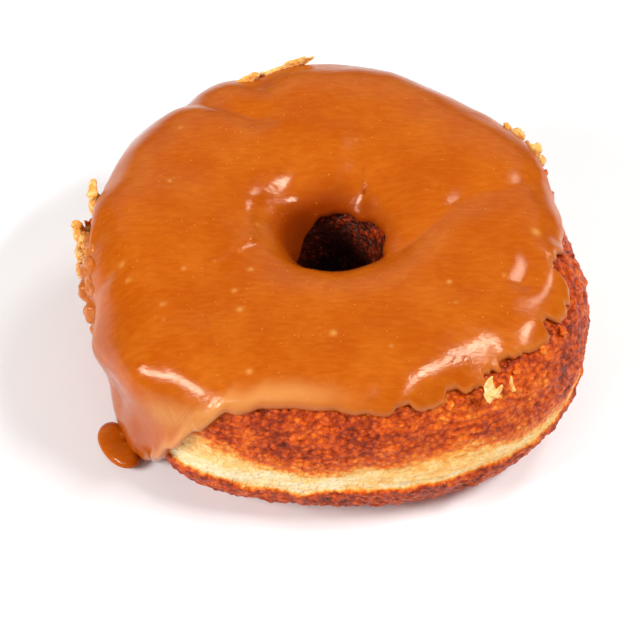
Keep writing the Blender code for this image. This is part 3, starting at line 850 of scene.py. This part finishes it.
# The run thickens below its top, and its foot stands out by RUN_FOOT at RUN_REACH_TURN degrees below the waist
RUN_TOP_TURN = 40.0
RUN_FOOT = 4.0
RUN_REACH_TURN = 55.0
FOOT_CLEARANCE = 0.45


def icing_thickness(azimuth, turn, edge, inner_edge):
    """The parts of the thickness at each place.

    The face's thickness is ICING_THICK, less a share that fades with the distance from the smooth edge. The lip is
    its height * exp(-((distance from the smooth edge - LIP_INSET) / LIP_WIDTH) ** 2). Both are rounded off at the real
    edge by sqrt(1 - (1 - inset) ** 2), where inset runs from 0 at the edge to 1 at EDGE_ROUND millimetres inside it.
    """
    from_edge = np.radians(away(turn, 0.0) - edge) * OUTER_SIZE
    from_hole = np.radians(inner_edge - turn) * INNER_SIZE
    from_line = np.radians(away(turn, 0.0) - round_the_ring(azimuth, SOFT_EDGE)) * OUTER_SIZE
    inset = np.clip(np.minimum(from_edge, from_hole) / EDGE_ROUND, 0.0, 1.0)
    rounded = np.sqrt(1.0 - (1.0 - inset) ** 2)
    thinned = THINNED_SHARE * np.exp(-((away(azimuth, THINNED_AZIMUTH) / THINNED_REACH) ** 4))
    thick = ICING_THICK * (1.0 - thinned * np.exp(-((np.maximum(from_line, 0.0) / THINNED_INSET) ** 2)))
    lip = ICING_LIP + lobes(azimuth, LIP_LOBES)
    lip = lip * np.exp(-(((from_line - LIP_INSET) / LIP_WIDTH) ** 2))
    return thick, lip, rounded, from_edge


def icing_outside(azimuth, turn, edge, inner_edge):
    """The body, plus gap and thickness along the normals, leaning outwards down the run so that it falls straight."""
    thick, lip, rounded, from_edge = icing_thickness(azimuth, turn, edge, inner_edge)
    body = dough_body(azimuth, turn)
    lip = lip * (1.0 + waves(body, LIP_WAVER))
    low = run_share(azimuth) * smooth((RUN_TOP_TURN - turn) / RUN_TOP_TURN)
    off = ICING_GAP + (thick + lip + RUN_EXTRA_THICK * low) * rounded
    points = body + off[..., None] * normals(bare_ring, azimuth, turn)
    lean = RUN_FOOT * run_share(azimuth) * smooth(-away(turn, 0.0) / RUN_REACH_TURN) * rounded
    points[..., 0] += lean * np.cos(np.radians(azimuth))
    points[..., 1] += lean * np.sin(np.radians(azimuth))
    return points, rounded, from_edge


front = np.full(1, FRONT)
front_thickness = icing_thickness(front, np.full(1, 90.0), outer_edge(front), hole_edge(front))[0]
print("the icing on the crown is", round(float(front_thickness[0]), 2), "mm thick")

# %% [markdown]
# ## Marks on the icing
# The icing's face is not smooth. It sags in low waves, keeps creases from the folds, and set with hairline cracks, a
# patch of fine wrinkles and a few grains of sugar. They could be sculpted. Each is given here as a line or a spot on
# the surface, by its two angles, with a smooth bump round it, so that it can be moved or made lower by one number.

# %% The forms, cracks and specks
# Each form: its places (azimuth, turn), its width, and its height, or its depth below 0, in millimetres
FORMS = (
    (((131, 49), (126, 67.5), (120, 82), (114, 92)), 1.1, -0.18),
    (((333.5, 128.5), (359, 113), (15.5, 87.5), (12.5, 71.5), (17, 44)), 1.5, -0.30),
    (((226, 76), (235, 62), (245, 49)), 0.5, -0.06),
    (((206, 18), (212, 25), (218, 30), (223, 33)), 5.4, 2.9),
    (((212, 68), (222, 68)), 4.5, -0.35),
    (((205, 20), (208, -8), (211, -45)), 2.4, 0.22),
    (((214, 16), (215.5, -8), (215, -40)), 2.0, -0.20),
    (((222, 16), (221.5, -6), (219, -36)), 2.2, 0.25),
    (((166, 122), (184, 123), (201, 124), (217, 126), (232, 129), (250, 130)), 2.2, 0.25),
    (((156, 139), (110, 139)), 3.5, 0.95),
    (((154, 130), (110, 129)), 2.0, -0.30),
    (((222, 36), (227, 39), (231.6, 40.5), (236.8, 43), (241, 44)), 2.4, -0.12),
    (((66, 124), (54, 121), (44, 119)), 2.2, -0.35),
    (((198, 122), (204, 112), (210, 101)), 0.9, 0.22),
    (((197, 121), (199, 119)), 1.1, 0.35),
    (((60, 131), (52, 139)), 2.0, -0.5),
)
CRACKS = (
    ((303, 63.5), (304, 61.5), (305.5, 60.5), (307.5, 57.5)), ((225, 76), (231, 70), (236, 62.5), (245.5, 49.5)),
    ((66, 122), (61, 128), (54, 133)), ((304, 61.5), (302, 59.5)),
)
CRACK_SHARES = (1.0, 0.35, 1.0, 1.0)
# Each speck of sugar: azimuth, turn and radius
SUGAR_SPECKS = (
    (221, 111, 0.5), (270.5, 85.5, 0.7), (234, 89.5, 0.6), (164, 76, 0.4), (354, 63, 0.9), (322, 97, 0.5),
    (194.5, 51, 0.6), (200.5, 51, 0.5), (226, 96, 0.5), (214, 60, 0.5), (248, 58, 0.6), (205, 78, 0.4),
)
WRINKLE_PATCH = (((231, 25), (236, 29), (241, 33)), 2.9)
print(len(FORMS), "forms,", len(CRACKS), "cracks and", len(SUGAR_SPECKS), "specks of sugar")

# %% Their heights and their paint
SAGS = ((0.42, 15.0, 62), (0.16, 6.0, 63), (0.035, 2.4, 64))
CRACK_WIDTH, CRACK_DEPTH = 0.15, 0.10
CRACK_WANDER, CRACK_WANDER_MM, CRACK_SEED = 0.35, 1.1, 66
SPECK_HEIGHT = 0.10
WRINKLE_HEIGHT, WRINKLE_PITCH, WRINKLE_LEAN = 0.26, 1.5, 0.6
WRINKLE_WANDER = (0.7, 3.0, 65)


def on_icing(places):
    """Points of the icing's face at a list of (azimuth, turn) places, for lines and spots to be measured from."""
    azimuth = np.array([p[0] for p in places], float)
    turn = np.array([p[1] for p in places], float)
    return icing_outside(azimuth, turn, outer_edge(azimuth), hole_edge(azimuth))[0]


def marks(points):
    """The height of every mark at each point, and the painted numbers that go with them.

    A form or crack is its height * exp(-(distance from its line / width) ** 2), and a speck of sugar the same from its
    spot. The wrinkles are a sine of a slanting distance that wanders with noise, inside their patch.
    """
    height = waves(points, *SAGS)
    for places, width, rise in FORMS:
        height = height + rise * near_line(points, on_icing(places), width)
    wander = np.stack([swells(points, CRACK_WANDER_MM, CRACK_SEED + k) for k in range(3)], axis=-1)
    ragged = points + CRACK_WANDER * wander
    crack = sum(deep * near_line(ragged, on_icing(line), CRACK_WIDTH) for line, deep in zip(CRACKS, CRACK_SHARES))
    sugar = np.zeros(points.shape[:-1])
    for azimuth, turn, radius in SUGAR_SPECKS:
        spot = on_icing(((azimuth, turn),))[0]
        sugar = sugar + np.exp(-((np.linalg.norm(points - spot, axis=-1) / radius) ** 2))
    places, reach = WRINKLE_PATCH
    wrinkled = near_line(points, on_icing(places), reach)
    slant = (points[..., 0] + WRINKLE_LEAN * points[..., 2]) / WRINKLE_PITCH + waves(points, WRINKLE_WANDER)
    height = height + WRINKLE_HEIGHT * wrinkled * np.sin(2.0 * math.pi * slant)
    height = height + SPECK_HEIGHT * sugar - CRACK_DEPTH * crack
    return height, np.clip(crack, 0, 1), np.clip(sugar, 0, 1), wrinkled


print("the first speck of sugar is at", np.round(on_icing((SUGAR_SPECKS[0][:2],))[0], 1), "mm")

# %% [markdown]
# ## The icing's mesh
# The icing is one closed skin: a face outside, a plainer one towards the dough, and rounded edges between them, where
# the points are closest. The two faces and the edges are one loop of points at each azimuth, so no seam has to be
# welded. Its paint says where it is thin and lets the crust through, and where painted shade darkens it in the hole
# and down the run. It also says where it is milky, in the wrinkled patch and along the rim at the right, and where a
# painted sheen lies on the lip in front.

# %% What is painted on the icing
# Painted shade in the hole and down the run, on the thin icing's paint
HOLE_THIN_AND_SHADE, HOLE_THIN_AND_SHADE_FROM, HOLE_THIN_AND_SHADE_OVER = 0.85, 128.0, 18.0
EDGE_THIN, EDGE_THIN_WIDTH = 0.30, 0.8
RUN_SHADE, RUN_SHADE_REACH, RUN_SHADE_FROM, RUN_SHADE_OVER = 0.35, 16.0, 40.0, 25.0
# Where the painted sheen lies on the lip in front
SHEEN_LIP_AZIMUTH, SHEEN_LIP_REACH = 248.0, 24.0
MILKY_RIM, MILKY_RIM_INSET, MILKY_RIM_WIDTH = 0.4, 0.7, 0.5
MILKY_RIM_AZIMUTH, MILKY_RIM_REACH = 330.0, 45.0
MILKY_WRINKLES = 0.85


def icing_paint(azimuth, turn, from_edge, wrinkled):
    """The paints at each place, as sums of parts that fall off by exp(-(distance / width) ** 2 or 4). The first darkens
    where the icing is thinnest at its edge, and is painted shade in the hole and down the run. The second is milkier in
    the wrinkles and along the right rim, and is a painted sheen on the lip in front.
    """
    # Thin icing at the edge, and painted shade in the hole and down the run
    in_hole = smooth((turn - HOLE_THIN_AND_SHADE_FROM) / HOLE_THIN_AND_SHADE_OVER)
    run = RUN_SHADE * run_share(azimuth, RUN_SHADE_REACH) * smooth((RUN_SHADE_FROM - turn) / RUN_SHADE_OVER)
    at_edge = EDGE_THIN * np.exp(-((from_edge / EDGE_THIN_WIDTH) ** 2))
    thin = np.clip(HOLE_THIN_AND_SHADE * in_hole + at_edge + run, 0, 1)
    # A painted sheen on the lip in front, on the milky paint
    lip = np.exp(-((away(azimuth, SHEEN_LIP_AZIMUTH) / SHEEN_LIP_REACH) ** 4))
    lip = lip * np.exp(-(((from_edge - LIP_INSET) / LIP_WIDTH) ** 2))
    rim = np.exp(-(((from_edge - MILKY_RIM_INSET) / MILKY_RIM_WIDTH) ** 2))
    rim = MILKY_RIM * rim * np.exp(-((away(azimuth, MILKY_RIM_AZIMUTH) / MILKY_RIM_REACH) ** 4))
    return thin, np.clip(MILKY_WRINKLES * np.clip(wrinkled, 0, 1) + lip + rim, 0, 1)


print("milky lip from", SHEEN_LIP_AZIMUTH - SHEEN_LIP_REACH, "to", SHEEN_LIP_AZIMUTH + SHEEN_LIP_REACH, "degrees")

# %% The icing's mesh
ICING_STATIONS = 560
ICING_FRONT = FRONT - 15.0
EDGE_POINTS = 10
FACE_POINTS = 118
UNDER_POINTS = 12
UNDER_INSET_TURN = 0.7
UNDER_GAP = 0.25
EDGE_INSET_TURN = math.degrees(EDGE_ROUND / OUTER_SIZE)
HOLE_INSET_TURN = math.degrees(EDGE_ROUND / INNER_SIZE)


def face_turns(edge, inner_edge):
    """Turns from edge to edge, crowded by 1 - cos at both edges and even between them."""
    ease = (1.0 - np.cos(np.linspace(0.0, math.pi / 2, EDGE_POINTS)))[None, :]
    start = edge + EDGE_INSET_TURN * ease
    end = inner_edge - HOLE_INSET_TURN * ease[:, ::-1]
    share = np.linspace(0.0, 1.0, FACE_POINTS + 2)[None, 1:-1]
    return np.concatenate([start, start[:, -1:] + (end[:, :1] - start[:, -1:]) * share, end], axis=1)


def under_face(azimuth, edge, inner_edge):
    """The dough's body, plus UNDER_GAP along its normals, between the two edges."""
    share = np.linspace(0.0, 1.0, UNDER_POINTS)[None, :]
    turn = edge + UNDER_INSET_TURN + (inner_edge - edge - 2.0 * UNDER_INSET_TURN) * share
    azimuth = np.broadcast_to(azimuth, turn.shape)
    return dough_body(azimuth, turn) + UNDER_GAP * normals(bare_ring, azimuth, turn)


def icing_grid():
    """The face with its marks along the normals, kept off the floor, then the under face back to the first edge."""
    azimuth = stations(ICING_STATIONS, CROWDING, ICING_FRONT)[:, None]
    edge, inner_edge = outer_edge(azimuth), hole_edge(azimuth)
    under = under_face(azimuth, edge, inner_edge)
    turn = face_turns(edge, inner_edge)
    azimuth = np.broadcast_to(azimuth, turn.shape)
    points, rounded, from_edge = icing_outside(azimuth, turn, edge, inner_edge)
    height, crack, sugar, wrinkled = marks(points)
    points = points + (height * rounded)[..., None] * normals(bare_ring, azimuth, turn)
    points[..., 2] = np.maximum(points[..., 2], -FLOOR_DROP + FOOT_CLEARANCE)
    thin, milky = icing_paint(azimuth, turn, from_edge, wrinkled)
    painted = {"crack": crack, "sugar": sugar, "wrinkled": wrinkled, "thin": thin, "milky": milky}
    blank = np.zeros(under.shape[:-1])
    painted = {key: np.concatenate([value, blank], axis=1) for key, value in painted.items()}
    return np.concatenate([points, under[:, ::-1]], axis=1), painted


icing_points, icing_painted = icing_grid()
piece("icing", [shell(icing_points)], icing_finish, "maple_icing", icing_painted)

# %% [markdown]
# ## Flakes of crust
# Laminated dough sheds flakes where the ring was torn from its tray. A flake is a flat section carried along a curled
# path, so it is a grid like the others: one parameter runs from root to tip and one goes round the section. A cloth
# simulation would curl it more truly, and would be much work for a chip of 3 mm.

# %% Flakes of crust
# Each: root and tip in millimetres from the ring's middle, width, thickness, curl, toast
FLAKES = (
    ((-45.6, 10.0, 6.0), (-47.4, 13.4, 15.6), 2.6, 3.2, 0.3, 0.20),
    ((-46.8, 4.6, 1.5), (-50.4, 6.2, 12.9), 3.2, 3.4, -0.5, 0.21),
    ((-47.0, 7.4, 5.0), (-48.8, 7.9, 10.5), 1.6, 1.2, 0.6, 0.34),
    ((-18.4, 39.4, 16.4), (-14.6, 40.8, 18.6), 2.6, 1.6, 0.4, 0.18),
    ((-13.2, 41.2, 17.0), (-5.2, 44.0, 20.2), 2.4, 0.9, 0.5, 0.17),
    ((-9.4, 42.8, 17.6), (-3.6, 44.6, 19.6), 1.8, 0.8, -0.4, 0.22),
    ((30.2, -41.2, 14.6), (29.3, -39.2, 18.4), 2.2, 1.0, 0.5, 0.10),
    ((30.4, -41.0, 14.8), (31.6, -39.4, 16.6), 1.7, 0.9, -0.5, 0.12),
    ((30.0, -41.2, 14.4), (28.3, -41.0, 15.6), 1.6, 0.9, 0.4, 0.12),
    ((34.2, -38.6, 13.6), (33.9, -36.9, 16.2), 0.8, 0.7, 0.8, 0.20),
    ((7.4, 45.9, 2.0), (8.0, 48.6, 4.4), 3.4, 0.9, 0.6, 0.36),
    ((-38.0, 24.6, 0.5), (-40.4, 26.2, 3.4), 3.0, 0.8, 0.7, 0.36),
)
FLAKE_ROWS = 30
FLAKE_COLUMNS = 36
# The half width: its share at the root, what it loses by the tip, and its ragged edge
FLAKE_ROOT, FLAKE_TAPER, FLAKE_EDGE = 1.25, 0.55, (0.25, 1.5, 71)
FLAKE_TIP, FLAKE_TIP_POWER = 0.97, 10
FLAKE_CORNER = 0.8
FLAKE_BEND, FLAKE_WAVE = 1.6, (0.22, 1.3, 72)
FLAKE_SWAY = (0.5, 2.6, 75)
FLAKE_THINNING, FLAKE_UNEVEN = 0.35, (0.45, 0.9, 73)
FLAKE_SHARP, FLAKE_SHARP_POWER = 0.9, 8
FLAKE_SPACING = 7.0
ALONG_ONLY = np.array([1.0, 0.0, 1.0])


def rows_and_columns(first, last, rows, columns):
    """Two grids: even steps from first to last down the rows, and even angles all round along the columns."""
    angles = np.arange(columns) * 2 * math.pi / columns
    return np.meshgrid(np.linspace(first, last, rows), angles, indexing="ij")


def flake(place, number):
    """root + along * a + across * (half width * cos(v) + sway) + face * (wave + half thickness * sin(v)).

    a runs from root to tip and v round the section. The half width and the thickness shrink to the tip, the sway
    bends the flake sideways, and the wave is a parabola of a. Noise makes all four uneven.
    """
    root, tip = np.array(place[0]), np.array(place[1])
    width, thickness, curl = place[2:5]
    length = np.linalg.norm(tip - root)
    along = (tip - root) / length
    out = np.array([root[0], root[1], 0.0]) / math.hypot(root[0], root[1])
    face = out - along * (out @ along)
    face = face / np.linalg.norm(face)
    across = np.cross(along, face)
    a, v = rows_and_columns(0.0, 1.0, FLAKE_ROWS, FLAKE_COLUMNS)
    b = np.sign(np.cos(v)) * np.abs(np.cos(v)) ** FLAKE_CORNER
    seat = np.stack([a * length, b * width / 2, np.full_like(a, FLAKE_SPACING * number)], axis=-1)
    half = width / 2 * (FLAKE_ROOT - FLAKE_TAPER * a + waves(seat, FLAKE_EDGE))
    half = half * np.sqrt(np.clip(1.0 - FLAKE_TIP * a**FLAKE_TIP_POWER, 0.0, 1.0))
    wave = curl * (a * a - a) * FLAKE_BEND + waves(seat, FLAKE_WAVE)
    sway = width * waves(seat * ALONG_ONLY, FLAKE_SWAY) * a
    thick = thickness * (1.0 - FLAKE_THINNING * a) * (1.0 + waves(seat, FLAKE_UNEVEN))
    thick = thick * np.sqrt(1.0 - FLAKE_SHARP * a**FLAKE_SHARP_POWER)
    points = root + along * (length * a)[..., None] + across * (half * b + sway)[..., None]
    return points + face * (wave + thick / 2 * np.sin(v))[..., None]


flake_shells = [shell(flake(place, number), ring=False) for number, place in enumerate(FLAKES)]
flake_toast = [np.full(len(made[0]), place[-1]) for made, place in zip(flake_shells, FLAKES)]
piece("flakes", flake_shells, crust, "dough_ring", {"toast_and_shade": np.concatenate(flake_toast)})

# %% [markdown]
# ## Nubs of crust
# Small lumps of dough frothed out at the torn sides and fried on there, paler than the crust. They are balls with
# lumps, set by their two angles, and each is swollen by noise of its own. A particle system could scatter them, but
# here each one has its place.

# %% A place on the ring, and a lump
POLE_GAP = 0.06
LUMP_SIZE, SMALL_LUMP_SIZE, SMALL_LUMP_SHARE = 0.8, 0.35, 0.45
LUMP_SPACING, SMALL_LUMP_SEED = 3.1, 7
NUB_SHAPE = (1.0, 0.9, 0.85)


def directions(azimuth, turn, step=0.5):
    """At one place on the ring: the point, the outward normal, the way to the crown and the way round the ring.

    The way to the crown is a short step of the turn, and the way round is its cross product with the normal.
    """
    a, t = np.array([float(azimuth)]), np.array([float(turn)])
    out = normals(bare_ring, a, t)[0]
    crownwards = (bare_ring(a, t + step) - bare_ring(a, t - step))[0]
    crownwards = crownwards / np.linalg.norm(crownwards)
    return dough_body(a, t)[0], out, crownwards, np.cross(crownwards, out)


def lump(centre, axes, sizes, lumpiness, seed, rows=24, columns=32):
    """centre + the sum of axis * size * (sin(u)cos(v), sin(u)sin(v), cos(u)), swollen by noise."""
    u, v = rows_and_columns(POLE_GAP, math.pi - POLE_GAP, rows, columns)
    ball = np.stack([np.sin(u) * np.cos(v), np.sin(u) * np.sin(v), np.cos(u)], axis=-1)
    seat = ball + LUMP_SPACING * seed
    bands = (lumpiness, LUMP_SIZE, seed), (SMALL_LUMP_SHARE * lumpiness, SMALL_LUMP_SIZE, seed + SMALL_LUMP_SEED)
    swollen = 1.0 + waves(seat, *bands)
    return centre + sum(
        axis * (size * swollen * ball[..., k])[..., None] for k, (axis, size) in enumerate(zip(axes, sizes))
    )


def nub(place, seed, lumpiness):
    """A lump whose long axis lies round the ring, lifted off the dough by its lift."""
    azimuth, turn, radius, lift = place[:4]
    point, out, crownwards, round_ring = directions(azimuth, turn)
    sizes = [radius * share for share in NUB_SHAPE]
    return lump(point + out * lift, (round_ring, crownwards, out), sizes, lumpiness, seed)


print("the crown's normal in front:", np.round(directions(FRONT, 90.0)[1], 2))

# %% The nubs
# Each: azimuth, turn, radius, lift off the dough and toast
NUBS = (
    (35.5, 41, 1.5, 2.1, 0.18), (28.5, 42, 1.6, 2.1, 0.16), (25.2, 41, 1.3, 2.0, 0.18), (38.5, 43, 0.8, 2.2, 0.24),
    (31.8, 41, 0.8, 2.0, 0.34), (21.2, 42, 0.7, 2.0, 0.5), (37, 38, 1.0, 1.2, 0.36), (26.5, 38, 1.0, 1.2, 0.4),
    (110.8, 47.5, 0.6, 2.6, 0.03), (109.4, 46.0, 0.55, 2.5, 0.55), (108.2, 46.4, 0.55, 2.8, 0.03),
    (173, 24, 2.1, 1.0, 0.22), (176, 20, 2.4, 1.3, 0.21), (179, 25, 2.3, 1.5, 0.20), (181, 18, 2.1, 1.5, 0.22),
    (176, 28, 1.9, 1.7, 0.20), (183.5, 23, 2.0, 1.7, 0.24), (172, 17, 2.1, 0.5, 0.34), (185.5, 14, 1.6, 1.5, 0.44),
    (170, 28, 1.4, 1.0, 0.52), (188, 20, 1.1, 2.4, 0.5),
    (298, 40, 0.9, 0.3, 0.50), (324, 43, 1.0, 0.3, 0.52), (331, 41, 0.9, 0.3, 0.54), (316, 42.5, 0.8, 0.5, 0.42),
    (20, 26, 1.3, 0.4, 0.46),
)
NUB_LUMPINESS = 0.45
FIRST_NUB_SEED = 80
nub_shells = [shell(nub(place, FIRST_NUB_SEED + n, NUB_LUMPINESS), ring=False) for n, place in enumerate(NUBS)]
nub_toast = [np.full(len(made[0]), place[-1]) for made, place in zip(nub_shells, NUBS)]
piece("nubs", nub_shells, crust, "dough_ring", {"toast_and_shade": np.concatenate(nub_toast)})

# %% [markdown]
# ## Crumbs under the icing
# At the left the icing ran over torn crumbs and rounded them off. They could be bumps in the icing's own face, but they
# stand too steeply for it, so they are lumps like the nubs, smoother and flatter, sunk in it and with its finish.

# %% Coated crumbs
# Each: azimuth, turn, radius and lift off the dough
COATED_CRUMBS = (
    (183, 36, 2.6, 0.9), (186.5, 32, 2.9, 1.0), (190, 27, 2.9, 0.9), (188, 20, 2.8, 1.2), (192, 15, 2.7, 1.0),
    (191, 8, 2.6, 1.0), (195, 3, 2.4, 0.9), (185, 26, 2.4, 1.5), (219, -31, 2.6, 1.4), (178.5, 33, 2.0, 1.2),
)
CRUMB_LUMPINESS = 0.25
FIRST_CRUMB_SEED = 95
CRUMB_PAINT = {"crack": 0.0, "sugar": 0.0, "wrinkled": 0.4, "thin": 0.0, "milky": 0.35}


def plain_paint(shells, values):
    """The same number on every point of all the shells, for each painted name."""
    count = sum(len(made[0]) for made in shells)
    return {key: np.full(count, value) for key, value in values.items()}


crumb_shells = [
    shell(nub(place, FIRST_CRUMB_SEED + n, CRUMB_LUMPINESS), ring=False) for n, place in enumerate(COATED_CRUMBS)
]
crumb_paint = plain_paint(crumb_shells, CRUMB_PAINT)
piece("coated_crumbs", crumb_shells, icing_finish, "maple_icing", crumb_paint)

# %% [markdown]
# ## The puddle
# A bead of clear syrup crept out from under the foot of the run, ahead of the sugar. A metaball would give a drop, but
# not one that hugs the foot. It is a tube along an arc round the foot, as wide as the arc's radius, so that it closes
# to a solid bead. It is flattened where it lies and tapered at its ends.

# %% The puddle at the run's foot
PUDDLE_MIDDLE = (-39.2, -25.8)
PUDDLE_ARC = (122.0, 292.0)
PUDDLE_RADIUS = 3.5
PUDDLE_HALF_WIDTH = 3.5
PUDDLE_HALF_HEIGHT = 1.7
PUDDLE_ROWS = 60
PUDDLE_COLUMNS = 36
PUDDLE_LEAST = 0.02
PUDDLE_WAVER, PUDDLE_WAVER_TURNS, PUDDLE_WAVER_START = 0.18, 7.0, 1.0
PUDDLE_SOLE = 0.7
SYRUP_PAINT = {"crack": 0.0, "sugar": 0.0, "wrinkled": 0.0, "thin": 0.0, "milky": 0.0}


def puddle_bead():
    """middle + (arc radius + half width * taper * cos(v)) round the foot, and half height * taper * sin(v) up."""
    a, v = rows_and_columns(0.0, 1.0, PUDDLE_ROWS, PUDDLE_COLUMNS)
    angle = np.radians(PUDDLE_ARC[0] + (PUDDLE_ARC[1] - PUDDLE_ARC[0]) * a)
    taper = np.sqrt(np.clip(1.0 - (2.0 * a - 1.0) ** 4, PUDDLE_LEAST, 1.0))
    taper = taper * (1.0 + PUDDLE_WAVER * np.sin(PUDDLE_WAVER_TURNS * a + PUDDLE_WAVER_START))
    reach = PUDDLE_RADIUS + PUDDLE_HALF_WIDTH * taper * np.cos(v)
    rise = PUDDLE_HALF_HEIGHT * taper * np.sin(v)
    deepest = PUDDLE_SOLE * PUDDLE_HALF_HEIGHT * (1.0 + PUDDLE_WAVER)
    rise = np.where(rise < 0, PUDDLE_SOLE * rise, rise) + FOOT_CLEARANCE - FLOOR_DROP + deepest
    x = PUDDLE_MIDDLE[0] + reach * np.cos(angle)
    y = PUDDLE_MIDDLE[1] + reach * np.sin(angle)
    return np.stack([x, y, rise], axis=-1)


puddle_shells = [shell(puddle_bead(), ring=False)]
puddle_paint = plain_paint(puddle_shells, SYRUP_PAINT)
piece("puddle", puddle_shells, icing_finish, "maple_icing", puddle_paint)

# %% [markdown]
# ## The floor
# The doughnut stands on a white sheet. It could curve up behind as a studio sweep does, but the camera looks down and
# sees only the flat part.

# %% The floor
FLOOR_HALF = 3.0
FLOOR_WHITE = (0.95, 0.95, 0.95, 1)
corners = [(x * FLOOR_HALF, y * FLOOR_HALF, 0.0) for x, y in ((-1, -1), (1, -1), (1, 1), (-1, 1))]
floor_mesh = bpy.data.meshes.new("floor")
floor_mesh.from_pydata(corners, [], [(0, 1, 2, 3)])
floor = bpy.data.objects.new("floor", floor_mesh)
bpy.context.scene.collection.objects.link(floor)
floor_finish, tree, shader = new_finish("floor")
set_sockets(shader, {"Base Color": FLOOR_WHITE, "Roughness": 0.9, "Specular IOR Level": 0.1})
floor_mesh.materials.append(floor_finish)
print("floor", 2.0 * FLOOR_HALF, "m wide")

# %% [markdown]
# ## The softboxes
# Wet icing shows its lamps as highlights, so where they stand matters as much as how bright they are. Four small bright
# softboxes, at the right, the right back, the left and the front left, make the highlights on the shoulders and round
# the hole. Large dim ones above, in front and behind soften the shadows. One dome of even light would be softer still,
# and would leave the icing flat. A rectangle's light is its watts over its area, so each softbox is given by its
# direction, its size and how bright its face is, and the watts follow.

# %% The softboxes
# Each: azimuth, elevation, distance in metres, width, height, and how bright its face is against a white surface
SOFTBOXES = {
    "right": (342, 51, 0.8, 0.36, 0.11, 41.0),
    "right_back": (40, 48, 0.8, 0.18, 0.09, 28.0),
    "left": (208, 33, 0.8, 0.36, 0.12, 40.0),
    "front_left": (240, 36, 0.9, 0.18, 0.08, 14.0),
    "top": (100, 82, 1.2, 1.6, 1.6, 0.15),
    "front": (272, 26, 1.2, 2.2, 0.8, 0.15),
    "back": (98, 30, 1.1, 1.7, 0.55, 0.5),
}
aim = Vector((0.0, 0.0, 0.02))
for name, (azimuth, elevation, distance, width, tall, bright) in SOFTBOXES.items():
    light = bpy.data.lights.new(name, "AREA")
    light.shape = "RECTANGLE"
    light.size, light.size_y = width, tall
    light.energy = bright * math.pi * width * tall
    lamp = bpy.data.objects.new(name, light)
    a, e = math.radians(azimuth), math.radians(elevation)
    lamp.location = aim + distance * Vector((math.cos(e) * math.cos(a), math.cos(e) * math.sin(a), math.sin(e)))
    lamp.rotation_euler = (aim - lamp.location).to_track_quat("-Z", "Y").to_euler()
    bpy.context.scene.collection.objects.link(lamp)
print(len(SOFTBOXES), "softboxes")

# %% The even light all round
WORLD_COLOUR = (1.0, 0.99, 0.98, 1)
WORLD_STRENGTH = 0.10
world = bpy.data.worlds.new("studio")
world.use_nodes = True
set_sockets(world.node_tree.nodes["Background"], {"Color": WORLD_COLOUR, "Strength": WORLD_STRENGTH})
bpy.context.scene.world = world
bpy.context.scene.view_settings.view_transform = "Standard"
print("even light of", WORLD_STRENGTH, "from all round")

# %% [markdown]
# ## The camera
# The camera looks down by 49 degrees from 0.7 m, about as far as a studio camera stands from a doughnut. To put the
# doughnut where it belongs in the picture, the lens could be shifted. Here the camera itself is moved a little, because
# other views keep a shift of the lens and would be off their middle.

# %% The camera
ELEVATION = math.radians(49.0)
CAMERA_DISTANCE = 0.7
LENS = 198.8
SENSOR = 36.0
NEAREST, FARTHEST = 0.01, 20.0
RIGHT_SHIFT = -2.28
UP_SHIFT = -6.83
up = Vector((0.0, math.sin(ELEVATION), math.cos(ELEVATION)))
back = Vector((0.0, -math.cos(ELEVATION), math.sin(ELEVATION)))
target = (Vector(CENTRE) + Vector((RIGHT_SHIFT, 0.0, 0.0)) + UP_SHIFT * up) * MM
camera_data = bpy.data.cameras.new("camera")
camera_data.lens = LENS
camera_data.sensor_width = SENSOR
camera_data.clip_start, camera_data.clip_end = NEAREST, FARTHEST
camera = bpy.data.objects.new("camera", camera_data)
camera.location = target + CAMERA_DISTANCE * back
camera.rotation_euler = (-back).to_track_quat("-Z", "Y").to_euler()
bpy.context.scene.collection.objects.link(camera)
bpy.context.scene.camera = camera
print("camera at", [round(v, 3) for v in camera.location])

# %% [markdown]
# ## The end
# The dressed part has to be as large as its solids, give or take the icing's waves. Last, the view layer is brought
# up to date.

# %% The end
bpy.context.view_layer.update()
